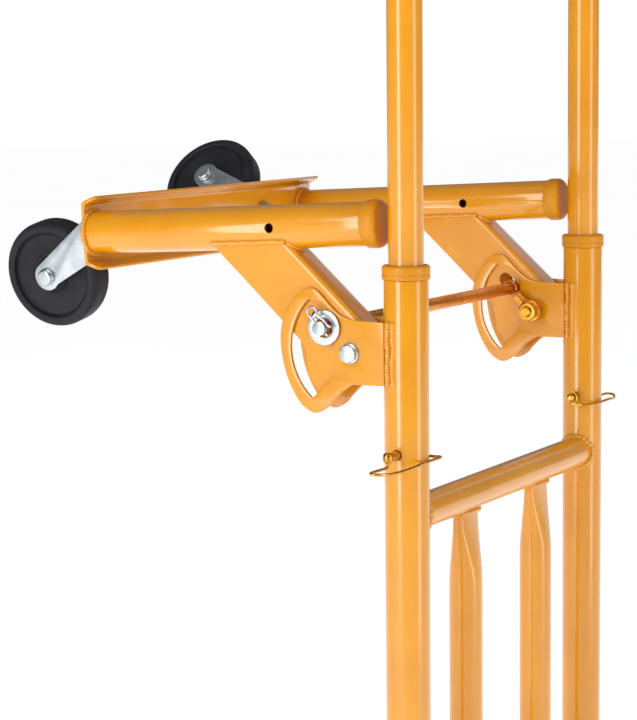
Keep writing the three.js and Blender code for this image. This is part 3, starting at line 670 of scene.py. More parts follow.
def crossbar_bead(sign, z, seed):
    """Weld round one end of a crossbar, along the line where it meets the upright."""
    path = []
    for k in range(72):
        a = 2 * math.pi * k / 72
        y = (CROSSBAR_R + 0.5) * math.cos(a)
        x = SIDE_X - math.sqrt((UPRIGHT_R + 0.2) ** 2 - y * y) - 0.4
        path.append((sign * x, y, z + (CROSSBAR_R + 0.5) * math.sin(a)))
    return bead_bm(path + [path[0]], 3.1, seed, pitch=4.4)


for name, z in (("upper", CROSSBAR_Z), ("lower", LOWER_BAR_Z)):
    painted(f"bar_{name}_cross", crossbar(z), "frame", None, f"{name}_crossbar")
    weld(f"weld_{name}_cross", merged(crossbar_bead(-1, z, 1.0), crossbar_bead(1, z, 2.3)), "frame")


def pressed_ring(pressed, wall, z, count=72):
    """Section of a tube that is squeezed to an oval with rounded ends; pressed runs from 0 to 1."""
    ease = pressed * pressed * (3 - 2 * pressed)
    b = SLAT_R + (SLAT_PRESSED_HALF - SLAT_R) * ease - wall
    a = SLAT_R + (SLAT_PRESSED_WIDE / 2 - SLAT_R) * ease - wall
    ring = []
    for k in range(count):
        t = 2 * math.pi * k / count
        c, s = math.cos(t), math.sin(t)
        power = 2 / (2 + 0.9 * ease)
        x = a * math.copysign(abs(c) ** power, c)
        y = b * math.copysign(abs(s) ** power, s)
        ring.append((x, y, z))
    return ring


def slat_bm():
    """Upright slat, round in the middle and pressed flat towards both crossbars."""
    foot, top = LOWER_BAR_Z + CROSSBAR_R - 1.2, CROSSBAR_Z - CROSSBAR_R + 1.2
    steps = 14
    stations = [(foot + SLAT_TAPER * k / steps, 1 - k / steps) for k in range(steps + 1)]
    stations += [(top - SLAT_TAPER * (steps - k) / steps, k / steps) for k in range(steps + 1)]
    outer = [pressed_ring(p, 0.0, z) for z, p in stations]
    inner = [pressed_ring(p, SLAT_WALL, z) for z, p in reversed(stations)]
    return rings_mesh(outer + inner, closed_path=True)


def slat_bead(z, down, seed):
    """Weld round the pressed end of a slat, saddled over the crossbar."""
    path = []
    for x, y, _ in pressed_ring(1.0, -0.6, 0.0, 48):
        saddle = math.sqrt(max((CROSSBAR_R + 0.4) ** 2 - y * y, 0.0))
        path.append((x, y, z + down * (saddle + 0.5)))
    return bead_bm(path + [path[0]], 2.7, seed, pitch=4.0)


for side, sign in SIDES:
    place = move(sign * SLAT_X)
    painted(f"tube_slat_{side}", slat_bm(), "frame", place, f"slat_{side}", smooth_deg=50)
    beads = merged(slat_bead(CROSSBAR_Z, -1, 3.0 + sign), slat_bead(LOWER_BAR_Z, 1, 5.0 + sign))
    weld(f"weld_slat_{side}", beads, "frame", place)

corner = TOE_CORNER
deck_outline = arc(TOE_HALF_X - corner, TOE_FRONT_Y + corner, corner, -90, 0, 16)
deck_outline += [(TOE_HALF_X, TOE_BACK_Y - 4), (TOE_HALF_X - 4, TOE_BACK_Y)]
deck_outline += [(-x, y) for x, y in reversed(deck_outline)]
deck = plate(deck_outline, 0.0, TOE_THICK, bevel=1.1, plane="XY")
rib_face, rib_foot = -UPRIGHT_R - 0.1, TOE_THICK - 0.5
rib_outline = [(-GUSSET_LONG, rib_foot), (rib_face, rib_foot), (rib_face, GUSSET_TOP), (-27, GUSSET_TOP),
               (-GUSSET_LONG, TOE_THICK + 3)]
rib_outline = rounded(rib_outline + [rib_outline[0]], 3.0)
ribs = [shifted(plate(rib_outline[:-1], -2.5, 2.5, bevel=0.6), move(sign * SIDE_X)) for _, sign in SIDES]
painted("plate_toe", merged(deck, *ribs), "frame", None, "toe_plate")


def ring_path(radius, z):
    return [(x, y, z) for x, y in arc(0, 0, radius, 0, 360, 48)]


toe_beads = []
for side, sign in SIDES:
    foot = bead_bm(ring_path(UPRIGHT_R + 0.8, TOE_THICK + 0.8), 2.4, 1.7 * sign)
    toe_beads.append(shifted(foot, move(sign * SIDE_X)))
    for dx in (-3.2, 3.2):
        seam = [(sign * SIDE_X + dx, -88 + t, TOE_THICK + 0.5) for t in range(0, 66, 4)]
        toe_beads.append(bead_bm(seam, 1.9, dx + sign))
        rise = [(sign * SIDE_X + dx, -19.6, 10 + t) for t in range(0, 58, 4)]
        toe_beads.append(bead_bm(rise, 1.8, dx - sign))
weld("weld_toe", merged(*toe_beads), "frame")

# Axle saddle plates and the star axle
for side, sign in SIDES:
    inner = -sign * (AXLE_PLATE_IN + AXLE_PLATE_THICK / 2)
    nose = arc(AXLE_Y, 0, 19, -90, 90, 24)
    outline = nose + [(-6, 32), (-8, 30), (-8, -30), (-6, -32)]
    bore = arc(AXLE_Y, 0, AXLE_R + 0.4, 0, 350, 35)
    saddle = plate(outline, -2.5, 2.5, [bore], bevel=0.7)
    place = move(sign * SIDE_X + inner, 0, AXLE_Z)
    painted(f"plate_axle_{side}", saddle, "frame", place, f"axle_plate_{side}")
    seams = [[(-sign * dx, y, z) for z in range(-29, 30, 4)] for dx, y in ((-0.4, -6.5), (-0.6, 3.5))]
    weld(f"weld_axle_{side}", merged(*[bead_bm(seam, 2.2, seam[0][1] + sign) for seam in seams]), "frame",
         place)
axle_end = STAR_X + SPIDER_IN + SPIDER_THICK + 4
groove = AXLE_R - 0.8
shaft = [(0, 0), (AXLE_R - 1.2, 0), (AXLE_R, 1.2), (AXLE_R, 2.2), (groove, 2.4), (groove, 3.4), (AXLE_R, 3.6)]
shaft = mirrored([(r, -axle_end + z) for r, z in shaft])
axle_place = move(0, AXLE_Y, AXLE_Z) @ ALONG_X
piece("rod_star_axle", revolve(shaft, 64), "frame", ZINC, axle_place, ["star_axle"])

# ---------------------------------------------------------------- pivot brackets

# Outline of a bracket plate about the pivot, as (y, z)
EDGE = [(-2, -26.5), (8, -33), (16, -40.5), (23, -48), (34, -52.8), (45, -48), (54.5, -36.5), (62.5, -19.5),
        (66.8, 0), (67.3, 14), (64, 29), (57, 41), (48, 50.5), (39, 54), (32.5, 52.5), (26, 47), (18, 39),
        (10, 32.5), (2, 29.2), (-10, 28)]
bracket_edge = [(v.x, v.y) for v in smooth_path([(y, z, 0) for y, z in EDGE], 8)]
bracket_edge = [(-32.3, -25.6), (-31.9, -26)] + bracket_edge + [(-31.9, 27.3), (-32.3, 26.9)]
window_edge = [(15, -18.5), *arc(0, WINDOW_CENTRE_Z, WINDOW_R, -50, 46, 36), (30, 42), (15, 31), (15, -18.5)]
window_edge = rounded(window_edge, 5.0)[:-1]
bolt_hole = arc(0, 0, BOLT_R + 0.4, 0, 350, 35)


def bracket_beads(seed):
    """Two wandering weld ridges where the plate's front edge lies against the tube."""
    rows = []
    for row, (x, y, radius) in enumerate(((18.5, -40.6, 2.4), (17.4, -35.6, 3.1))):
        path = []
        for k in range(30):
            z = -26 + 55 * k / 29
            sway = 0.9 * noise.noise(Vector((z * 0.11, seed * 3.7, row * 5.1)))
            path.append((x, y + sway, z))
        rows.append(bead_bm(path, radius, seed + row, pitch=2.6))
    return merged(*rows)


for side, sign in SIDES:
    pivot = move(sign * SIDE_X, PIVOT_Y, PIVOT_Z)
    for which, outward in (("outer", sign), ("inner", -sign)):
        cheek = plate(bracket_edge, BRACKET_IN, BRACKET_OUT, [window_edge, bolt_hole], bevel=0.85)
        place = pivot @ MIRROR[outward]
        painted(f"plate_bracket_{side}_{which}", cheek, "frame", place, f"bracket_{side}_{which}")
        weld(f"weld_bracket_{side}_{which}", bracket_beads(2.0 * sign + outward), "frame", place)

    facing = pivot @ MIRROR[sign]
    head_face, nut_face = BRACKET_OUT + SEAM, BRACKET_OUT + 8.4
    flange = turned([(0, 0), (8.9, 0), (8.9, 1.0), (7.8, 1.6), (0, 1.6)], 0.4, segments=64)
    head = shifted(hexagon_bm(14.0, 5.3, 6.9), move(0, 0, 0.2))
    head = shifted(merged(flange, head), move(head_face, 0, 0) @ ALONG_X)
    shank = shifted(rod_bm(BOLT_R - 0.1, -nut_face, head_face + 0.5), ALONG_X)
    tail = shifted(thread_bm(BOLT_R - 0.05, -nut_face - 14, -nut_face + 0.5, 1.5), ALONG_X)
    bolt = merged(head, shank, tail)
    piece(f"bolt_pivot_{side}", bolt, "frame", SIDE_METAL[side], facing, [f"pivot_bolt_{side}"])
    nut = merged(shifted(washer_bm(10.6, BOLT_R + 0.1, 0, 1.9), move(-nut_face) @ BACK_X),
                 shifted(hexagon_bm(17.0, 8.0, 8.3, BOLT_R + 0.1), move(-nut_face - 1.9) @ BACK_X))
    piece(f"nut_pivot_{side}", nut, "frame", AMBER_METAL, facing, [f"pivot_nut_{side}"])

# ---------------------------------------------------------------- telescopic handle


def handle_track(steps_bend=14, steps_corner=18):
    """Centre line of the handle tube from the right foot over the top bar to the left foot."""
    half = [Vector((-SIDE_X, 0, HANDLE_FOOT))]
    half += [Vector((-SIDE_X, 0, HANDLE_FOOT + (HANDLE_BEND_Z - HANDLE_FOOT) * k / 12)) for k in range(1, 13)]
    for i in range(1, steps_bend + 1):
        a = HANDLE_RAKE * i / steps_bend
        y, rise = HANDLE_BEND_R * (1 - math.cos(a)), HANDLE_BEND_R * math.sin(a)
        half.append(Vector((-SIDE_X, y, HANDLE_BEND_Z + rise)))
    up = Vector((0, math.sin(HANDLE_RAKE), math.cos(HANDLE_RAKE)))
    corner_start = half[-1] + up * HANDLE_RISE
    for i in range(steps_corner + 1):
        a = math.pi / 2 * i / steps_corner
        inward = Vector((HANDLE_CORNER_R * (1 - math.cos(a)), 0, 0))
        half.append(corner_start + up * (HANDLE_CORNER_R * math.sin(a)) + inward)
    return half + [Vector((-p.x, p.y, p.z)) for p in reversed(half)]


track = handle_track()
bow = merged(*[sweep(track, r, 64, cap=False) for r in (HANDLE_R, HANDLE_R - HANDLE_WALL)])
rims = [e for e in bow.edges if e.is_boundary]
bmesh.ops.bridge_loops(bow, edges=[e for e in rims if e.verts[0].co.x < 0])
bmesh.ops.bridge_loops(bow, edges=[e for e in rims if e.is_valid and e.verts[0].co.x > 0])
wide = PIN_R + 0.6
slot_low, slot_high = PIN_Z - PIN_R - 0.6, PIN_Z + HANDLE_SLIDE + PIN_R + 0.6
slots = [box_bm(s * SIDE_X - 18, s * SIDE_X + 18, -wide, wide, slot_low, slot_high) for _, s in SIDES]
painted("tube_handle_bow", boolean(bow, slots), "handle", None, "handle_bow", smooth_deg=40)

bar_mid = track[len(track) // 2]


def grip_bm():
    """Rubber sleeve with rings moulded all along it."""
    bore, end_r, r, half = HANDLE_R + 0.7, GRIP_R - 1.5, GRIP_R, GRIP_HALF
    groove_r, ring_step = GRIP_R - 1.0, 5.2
    profile = [(bore, -half), (end_r, -half), (r, -half + 1.5), (r, -half + 5)]
    z = -half + 8
    while z < half - 9:
        profile += [(18.45, z), (groove_r, z + 0.8), (groove_r, z + 1.8), (18.45, z + 2.6)]
        z += ring_step
    profile += [(r, half - 5), (r, half - 1.5), (end_r, half), (bore, half), (bore, -half)]
    return turned(profile, 0.5, 2, 64)


for side, sign in SIDES:
    place = move(sign * GRIP_X, bar_mid.y, bar_mid.z) @ ALONG_X
    piece(f"sleeve_grip_{side}", grip_bm(), "handle", GRIP, place, [f"grip_{side}"], 50)

# ---------------------------------------------------------------- wire-lock pins


def lock_pin_bm():
    """Pin through upright and handle, with a bored lug that the wire hinges in."""
    end = -UPRIGHT_R - 13
    shank = [(0, end), (PIN_R - 1.6, end), (PIN_R, end + 2), (PIN_R, PIN_HEAD), (0, PIN_HEAD)]
    shank = shifted(turned(shank, 0.8, segments=48), ALONG_X)
    lug = mirrored([(0, -4.4), (3.0, -4.4), (4.3, -2.4)])
    lug = shifted(turned(lug, 1.0, segments=48), move(PIN_HEAD + 3.6))
    hole = bar_along("Z", WIRE_R + 0.5, -8, 8, (PIN_HEAD + 4, 0, 0))
    return merged(shank, boolean(lug, [hole]))


def wire_lock_bm():
    """Spring wire from the hinge in the lug, round the upright, to a hook over the pin's tip."""
    hinge, tip, clear = PIN_HEAD + 4, -UPRIGHT_R - 8, PIN_R + WIRE_R + 0.5
    hook = [(tip, y, z) for y, z in arc(0, 0, clear, 100, 270, 8)]
    drop = hook[-1][2]
    points = hook + [(tip, -9, drop - 1.2), (tip + 1.5, -15, drop - 1), (tip + 6, -20.5, drop),
                     (tip + 11, -22.3, drop), (16, -22.3, drop), (24, -21.5, drop - 1), (40, -17, drop - 3),
                     (54, -12.5, -9.5), (61, -9.5, -9), (66, -5.5, -8.6), (66.5, -1.5, -8.3),
                     (63, 1.2, -8.2), (55, 1.5, -8.2), (hinge + 4.5, 0.6, -8.2), (hinge + 1.4, 0, -7.8),
                     (hinge + 0.1, 0, -6.4), (hinge, 0, -4.5), (hinge, 0, 4)]
    return sweep(smooth_path(points, 5), WIRE_R, 20)


for side, sign in SIDES:
    place = move(sign * SIDE_X, 0, PIN_Z) @ MIRROR[sign]
    pin, wire = lock_pin_bm(), wire_lock_bm()
    piece(f"pin_lock_{side}", pin, "frame", YELLOW_ZINC, place, [f"lock_pin_{side}"], 45)
    piece(f"wire_pin_{side}", wire, f"wire_lock_body_{side}", YELLOW_ZINC, place, [f"wire_lock_{side}"],
          60)

# ---------------------------------------------------------------- castor support


def channel_section(half, web, edge, thick, bend, steps=6):
    """Open channel with rounded bends, as points (x, p) going round its skin."""
    def corner(x_side, radius, start, end):
        return arc(x_side * (half - bend), web - bend, radius, start, end, steps)
    outer = [(-half, edge)] + corner(-1, bend, 180, 90) + corner(1, bend, 90, 0) + [(half, edge)]
    inner_bend = bend - thick
    inner = [(half - thick, edge)] + corner(1, inner_bend, 0, 90) + corner(-1, inner_bend, 90, 180)
    return outer + inner + [(-half + thick, edge)]


# Heel of the arm below its eye, as (y, z) about the pivot
ARM_HEEL = [(-14, -19), (4, -25), (17, -35), (30, -36), (44, -20), (44, 6)]


def support_arm_bm():
    """Channel arm, built with s up the arm and p towards its web, then turned to its angle."""
    section = channel_section(ARM_HALF, ARM_P, -60.0, ARM_THICK, 5.0)
    channel = rings_mesh([[(x, s, p) for x, p in section] for s in (-30, 195)])
    eye = arc(0, 0, ARM_EYE_R, 100, 220, 30)
    c, n = math.cos(ARM_ANGLE), math.sin(ARM_ANGLE)
    heel = [(y * c + z * n, z * c - y * n) for y, z in ARM_HEEL]
    heel = rounded([eye[-1]] + heel + [(120, -ARM_P)], 9.0, 6)[1:]
    outline = eye + heel + [(176, -ARM_P), (150, ARM_P), (6, ARM_P)]
    shape = prism_x(outline, -30, 30)
    body = boolean(channel, [shape], "INTERSECT")
    throat = box_bm(-ARM_HALF + ARM_THICK, ARM_HALF - ARM_THICK, -40, 4, -60, 40)
    slot_r = ROD_R + SEAM
    slot = arc(ROD_REACH, 0, slot_r, 90, 270, 20) + arc(ROD_REACH + ROD_TRAVEL, 0, slot_r, -90, 90, 20)
    body = boolean(body, [throat, prism_x(slot, -30, 30), bar_along("X", BOLT_R + 0.1, -30, 30)])
    body = shifted(body, turn(ARM_ANGLE, "X"))
    seat = bar_along("Y", TUBE_R - 0.8, -40, 240, (0, 0, TUBE_RISE), 96)
    above = box_bm(-30, 30, -40, 240, TUBE_RISE - 5, TUBE_RISE + 70)
    return softened(boolean(body, [seat, above]), 0.55, 40)


def arm_beads(seed):
    """Weld along both flange tops and across the web, under the tube."""
    c, n = math.cos(ARM_ANGLE), math.sin(ARM_ANGLE)
    drop = TUBE_RISE - math.sqrt(TUBE_R ** 2 - ARM_HALF ** 2)
    low_y = (drop - ARM_P * c) / n * c - ARM_P * n
    high_y = (drop + ARM_P * c) / n * c + ARM_P * n
    rows = []
    for x in (-1, 1):
        path = []
        for k in range(41):
            y = low_y - 1 + (high_y - low_y + 2) * k / 40
            wave = 0.8 * noise.noise(Vector((y * 0.12, seed, x)))
            path.append((x * (ARM_HALF + 0.5), y, drop - 0.4 + wave))
        rows.append(bead_bm(path, 2.3, seed + x, pitch=3.0))
    across = []
    for k in range(25):
        x = -ARM_HALF + 2 * ARM_HALF * k / 24
        z = TUBE_RISE - math.sqrt(max(TUBE_R ** 2 - x * x, 1.0)) - 0.8
        across.append((x * 0.96, (z - ARM_P * c) / n * c - ARM_P * n - 0.8, z))
    rows.append(bead_bm(across, 2.1, seed + 4, pitch=3.0))
    return merged(*rows)


lip, back = PLATE_FRONT_Y - PLATE_FLANGE, PLATE_FRONT_Y + PLATE_THICK
flared = PLATE_HALF_Z + PLATE_FLARE
section = mirrored([(back, PLATE_HALF_Z), (lip + 1.0, flared), (lip, flared - PLATE_THICK + 0.2),
                    (PLATE_FRONT_Y, PLATE_HALF_Z - PLATE_THICK + 0.6)])
section = rounded(section + [section[0]], 2.6, 5)[:-1]
channel = prism_x([(y, z + TUBE_RISE) for y, z in section], -PLATE_HALF_X, PLATE_HALF_X)
stem_bores = [bar_along("Y", 6.3, back - 10, back + 10, (x, 0, TUBE_RISE)) for x in CASTOR_X.values()]
corner_cuts = []
for _, sign in SIDES:
    for up_down in (-1, 1):
        inside, outside = sign * (PLATE_HALF_X - 7), sign * (PLATE_HALF_X + 2)
        wedge = [(inside, lip - 4), (outside, lip - 4), (outside, lip + 7)]
        heights = [TUBE_RISE + up_down * (PLATE_HALF_Z + dz) for dz in (-6, 16)]
        corner_cuts.append(rings_mesh([[(x, y, z) for x, y in wedge] for z in heights]))
channel = softened(boolean(channel, stem_bores + corner_cuts), 0.7, 40)
painted("plate_rear", channel, "support", SUPPORT, "rear_plate")

for side, sign in SIDES:
    beam = SUPPORT @ move(sign * SIDE_X, 0, TUBE_RISE)
    tube = shifted(pipe_bm(TUBE_R, TUBE_R - TUBE_WALL, CAP_FACE_Y + CAP_LIP + SEAM, PLATE_FRONT_Y + 0.4, 96),
                   ALONG_Y)
    tube = boolean(tube, [bar_along("X", CROSS_HOLE_R, -30, 30, (0, CROSS_HOLE_Y, 0))])
    painted(f"tube_support_{side}", softened(tube, 0.45, 40), "support", beam, f"support_tube_{side}")

    front, rear, plug = CAP_FACE_Y, CAP_FACE_Y + CAP_LIP, TUBE_R - TUBE_WALL - SEAM
    profile = [(0, front + 0.5), (CAP_R - 7, front + 0.25), (CAP_R - 3, front + 0.4),
               (CAP_R - 0.8, front + 2.2), (CAP_R, front + 4.6), (CAP_R, rear - 2.2),
               (CAP_R - 0.25, rear - 1.9), (CAP_R - 0.25, rear), (plug, rear + 0.1), (plug, rear + 16),
               (0, rear + 16)]
    cap = turned(profile, 1.6, 4, 96)
    piece(f"cap_tube_{side}", cap, "support", AMBER, beam @ ALONG_Y, [f"tube_cap_{side}"],
          50)

    arm_place = SUPPORT @ move(sign * SIDE_X)
    painted(f"channel_arm_{side}", support_arm_bm(), "support", arm_place, f"support_arm_{side}")
    weld(f"weld_arm_{side}", arm_beads(3.0 + sign), "support", arm_place)
    ring = [(x, PLATE_FRONT_Y - 1.0, z) for x, z in arc(0, 0, TUBE_R + 0.8, 0, 360, 60)]
    weld(f"weld_tube_{side}", bead_bm(ring, 2.3, 6.0 + sign, 3.4), "support", beam)

# ---------------------------------------------------------------- castors


def castor_head_bm():
    """Pressed disc and ball race behind the plate, with washer, nut and stem end in front of it."""
    rear, nut_face = back + SEAM, PLATE_FRONT_Y - SEAM
    race = [(6, 0), (28.4, 0), (29, 0.6), (29, 2.4), (28.2, 3.2), (25.2, 3.6), (24, 5), (24, 8.4), (23.2, 9),
            (20, 9), (18.5, 8.2), (10.5, 8.2), (9, 9), (9, 13.4), (8.4, 14), (0, 14)]
    race = [(0, nut_face - 1), (6, nut_face - 1)] + [(r, rear + z) for r, z in race]
    parts = [shifted(turned(race, 0.6, 3, 80), ALONG_Y)]
    parts.append(shifted(washer_bm(12.5, 5.8, 0, 2.2), move(0, nut_face - 2.2) @ ALONG_Y))
    parts.append(shifted(hexagon_bm(18.4, 6.6, 9.0, 5.8), move(0, nut_face - 2.0) @ turn(math.pi / 2, "X")))
    parts.append(shifted(thread_bm(5.95, nut_face - 15, nut_face - 0.5, 1.5), ALONG_Y))
    return merged(*parts)


def castor_fork_bm():
    """Pressed fork: a crown with rounded shoulders and two tapering cheeks."""
    crown = 12.6
    eye = arc(CASTOR_DROP, -CASTOR_TRAIL, 13, 215, 415, 30)
    cheek = [(crown - 2, 20), (crown - 2, -22)] + eye
    section = channel_section(FORK_HALF, 0.0, -120, FORK_THICK, 4.5)
    channel = rings_mesh([[(x, crown - p, z) for x, p in section] for z in (-60, 30)])
    body = boolean(channel, [prism_x(cheek, -30, 30)], "INTERSECT")
    tools = [bar_along("Y", 9.5, 0, 40), bar_along("X", 4.2, -30, 30, (0, CASTOR_DROP, -CASTOR_TRAIL))]
    return softened(boolean(body, tools), 0.5, 40)


def wheel_bm(face, half, steps, segments):
    """Wheel turned from one face, given as (radius, height above the wheel's side), and its mirror image."""
    profile = mirrored([(r, half + z) for r, z in face])
    return turned(profile + [profile[0]], 0.9, steps, segments)


def castor_wheel_bm():
    """Moulded wheel: flat tread, raised rim ring, groove, dished web and hub."""
    half, r = CASTOR_WIDE / 2, CASTOR_R
    face = [(4.2, 1), (9.4, 1), (10.2, 0.2), (11.2, -3.6), (16, -4.4), (17, -3.4), (19.5, -3.2), (21, -4.2),
            (36.5, -3.6), (38.4, -3.8), (38.9, -4.6), (39.7, -4.4), (40.3, -1.2), (41.6, -0.1), (45.6, -0.3),
            (47.6, -1.4), (49.3, -3.6), (r, -6.4), (r, -11)]
    return wheel_bm(face, half, 4, 128)


def castor_bolt_bm():
    """Wheel bolt with its round head on +X and its lock nut on -X."""
    face = FORK_HALF + SEAM
    head = [(0, 0), (8.2, 0), (8.2, 1.2), (7.6, 1.5), (7.4, 4.0), (6.2, 5.0), (0, 5.2)]
    head = shifted(turned(head, 0.8, 4, 64), move(face) @ ALONG_X)
    lock_ring = turned([(3.9, 5.0), (5.6, 5.0), (5.2, 6.6), (3.9, 7.0), (3.9, 5.0)], 0.4, segments=48)
    nut = shifted(merged(hexagon_bm(12.8, 5.2, 6.2, 3.9), lock_ring), move(-face) @ BACK_X)
    shank = shifted(rod_bm(3.95, -face - 1, face + 0.5), ALONG_X)
    tail = shifted(thread_bm(3.95, -face - 9, -face - 0.5, 1.25), ALONG_X)
    return merged(head, nut, shank, tail)


for side, sign in SIDES:
    stem = SUPPORT @ move(CASTOR_X[side], 0, TUBE_RISE)
    piece(f"race_castor_{side}", castor_head_bm(), "support", ZINC, stem, [f"castor_head_{side}"])
    swivel = stem @ move(0, back) @ turn(-SWIVEL[side], "Y")
    body = f"castor_fork_body_{side}"
    piece(f"fork_castor_{side}", castor_fork_bm(), body, ZINC, swivel, [f"castor_fork_{side}"])
    # The two bolts go in from opposite sides.
    hub = swivel @ move(0, CASTOR_DROP, -CASTOR_TRAIL) @ MIRROR[sign]
    piece(f"bolt_castor_{side}", castor_bolt_bm(), body, ZINC, hub, [f"castor_bolt_{side}"])
    piece(f"wheel_castor_{side}", castor_wheel_bm(), f"castor_wheel_body_{side}", CHARCOAL, hub @ ALONG_X,
          [f"castor_wheel_{side}"], 45)

# ---------------------------------------------------------------- lock rod


def rod_length(low, high, clip_x):
    """A length of the lock rod with the cross hole for a spring clip."""
    rod = bar_along("X", ROD_R, low, high, segments=64)
    return softened(boolean(rod, [bar_along("Y", 1.4, -20, 20, (clip_x, 0, 0), 24)]), 0.8, 40)


tip_x = -ROD_END + BARE_TIP
piece("rod_lock", rod_length(tip_x, ROD_END, CLIP_X), "lock", AMBER_METAL, LOCK, ["lock_rod"])
piece("tip_lock_rod", rod_length(-ROD_END, tip_x, -CLIP_X), "lock", ZINC, LOCK)


def clip_bm():
    """Spring clip: one straight leg through the rod, a ring and an outer leg that hugs it."""
    points = [(0, -9, 0), (0, 9, 0), (0, 11, 0.3)]
    points += [(2.6 * i / 14, y, z) for i, (y, z) in enumerate(arc(14.5, 5, 4.6, -90, 210, 14))]
    points += [(2.6, 10.5, 6.6), (2.2, 7, 7.4), (1.6, 0, 7.9), (1.6, -4, 7.2), (1.6, -7, 8.6)]
    return sweep(smooth_path(points, 4), 1.1, 16)


def spring_bm():
    """Extension spring from the lock rod, at the origin, to the pivot bolt along -Y."""
    coil, wire, turns, per_turn = 5.2, 0.8, 9, 18
    rod_hook, bolt_hook = ROD_R + wire + 0.3, BOLT_R + wire + 0.3
    points = [(0, y, z) for y, z in arc(0, 0, rod_hook, 150, -140, 22)]
    start, end = -10.5, -ROD_REACH + 10.5
    for i in range(turns * per_turn + 1):
        a = 2 * math.pi * i / per_turn
        along = start + (end - start) * i / (turns * per_turn)
        points.append((coil * math.sin(a), along, coil * math.cos(a)))
    points += [(0, y, z) for y, z in arc(-ROD_REACH, 0, bolt_hook, 30, -260, 22)]
    return sweep(smooth_path(points, 2), wire, 12)


for side, sign in SIDES:
    metal = SIDE_METAL[side]
    washer = shifted(washer_bm(15, 8.4, -1.4, 1.4, 80), ALONG_X)
    place = LOCK @ move(sign * (SIDE_X + BRACKET_OUT + 1.8))
    piece(f"washer_lock_{side}", washer, "lock", metal, place, [f"lock_washer_{side}"])
    retainer = LOCK @ move(sign * CLIP_X) @ MIRROR[sign]
    piece(f"clip_lock_{side}", clip_bm(), "lock", metal, retainer, [f"lock_clip_{side}"], 60)
    inner = LOCK @ move(sign * (SIDE_X - BRACKET_OUT - 6.8))
    piece(f"spring_lock_{side}", spring_bm(), "lock", AMBER_METAL, inner, [f"lock_spring_{side}"], 60)

# ---------------------------------------------------------------- stars


def star_bm():
    """Two three-armed plates welded to a hub tube."""
    outline = []
    for _, deg in STAR_ARMS:
        tip = arc(STAR_REACH, 0, 15, -80, 80, 20)
        arm = [(24, -22), (36, -18.4), (60, -15.5)] + tip + [(60, 15.5), (36, 18.4), (24, 22)]
        t = math.radians(deg)
        outline += [(a * math.cos(t) - b * math.sin(t), a * math.sin(t) + b * math.cos(t)) for a, b in arm]
    outline = rounded(outline + [outline[0]], 8, 4)[:-1]
    bore = arc(0, 0, AXLE_R + 0.2, 0, 350, 35)
    spans = ((-SPIDER_IN - SPIDER_THICK, -SPIDER_IN), (SPIDER_IN, SPIDER_IN + SPIDER_THICK))
    parts = [plate(outline, low, high, [bore], bevel=0.6) for low, high in spans]
    parts.append(shifted(pipe_bm(17, AXLE_R + 0.3, -SPIDER_IN - 0.5, SPIDER_IN + 0.5, 64), ALONG_X))
    for x in (-1, 1):
        ring = [(x * (SPIDER_IN - 0.5), y, z) for y, z in arc(0, 0, 17.6, 0, 360, 48)]
        parts.append(bead_bm(ring, 1.9, x))
    return merged(*parts)


def star_spot(deg):
    """Place of a star wheel's centre from the star's hub."""
    t = math.radians(deg)
    return move(0, STAR_REACH * math.cos(t), STAR_REACH * math.sin(t))


def star_bolts_bm():
    """The three wheel bolts of a star, a hexagon at each end."""
    parts = []
    for _, deg in STAR_ARMS:
        at = star_spot(deg)
        outer = SPIDER_IN + SPIDER_THICK
        parts.append(shifted(rod_bm(STUB_R, -outer - 1, outer + 1), at @ ALONG_X))
        parts.append(shifted(hexagon_bm(15.6, 5.6, 7.6), at @ move(outer) @ ALONG_X))
        parts.append(shifted(hexagon_bm(15.6, 5.6, 7.6), at @ move(-outer) @ BACK_X))
    return merged(*parts)


def star_wheel_bm():
    """Wide tyre on a moulded centre: hub, recessed web and rim."""
    half, r = STAR_WHEEL_WIDE / 2, STAR_WHEEL_R
    face = [(STUB_R + SEAM, 0), (16.5, 0), (18, -1.2), (19.6, -6.4), (22, -7), (48, -7), (50.5, -6.2),
            (53.2, -0.8), (54.6, 0), (56.0, -0.2), (56.6, -1.4), (57.6, -1.4), (58.2, -0.2), (69, 0),
            (74.5, -2.6), (78.6, -7), (r, -12), (r, -14), (r - 1.2, -15), (r - 1.2, -16.2), (r, -17)]
    return wheel_bm(face, half, 3, 144)


for side, sign in SIDES:
    place = move(sign * STAR_X, AXLE_Y, AXLE_Z) @ MIRROR[sign]
    body = f"star_body_{side}"
    painted(f"spider_star_{side}", star_bm(), body, place, f"star_{side}")
    piece(f"bolts_star_{side}", star_bolts_bm(), body, ZINC, place)
    face = SPIDER_IN + SPIDER_THICK + 1.2
    bore = AXLE_R + 0.15
    cap = [(bore, 0), (16.6, 0), (17, 0.5), (17, 2), (16, 4), (13, 6.3), (8, 7), (0, 7), (0, 3.2),
           (bore, 3.2), (bore, 0)]
    cap = revolve([(r, face + z) for r, z in cap], 64)
    piece(f"cap_star_{side}", cap, "frame", AMBER, place @ ALONG_X, [f"star_cap_{side}"], 50)
    for spot, deg in STAR_ARMS:
        wheel = f"{side}_{spot}"
        piece(f"wheel_star_{wheel}", star_wheel_bm(), f"star_wheel_body_{wheel}", AMBER_WHEEL,
              place @ star_spot(deg) @ ALONG_X, [f"star_wheel_{wheel}"], 45)

# ---------------------------------------------------------------- stage, light and camera


def floor_material():
    n = Nodes("pale_floor")
    cloud = n.noise(0.7, 3.0)
    tone = n.ramp(cloud, "Fac", [(0.3, (0.86, 0.86, 0.86)), (0.7, (0.90, 0.90, 0.90))])
    rough = n.span(cloud, "Fac", 0.75, 0.9)
    white = (1.0, 1.0, 1.0, 1.0)
    n.paint(tone.outputs["Color"], rough, Emission_Color=white, Emission_Strength=0.80)
    fine = n.noise(180.0, 3.0)
    return n.finish(n.bump(fine, "Fac", 0.0004, 0.3))


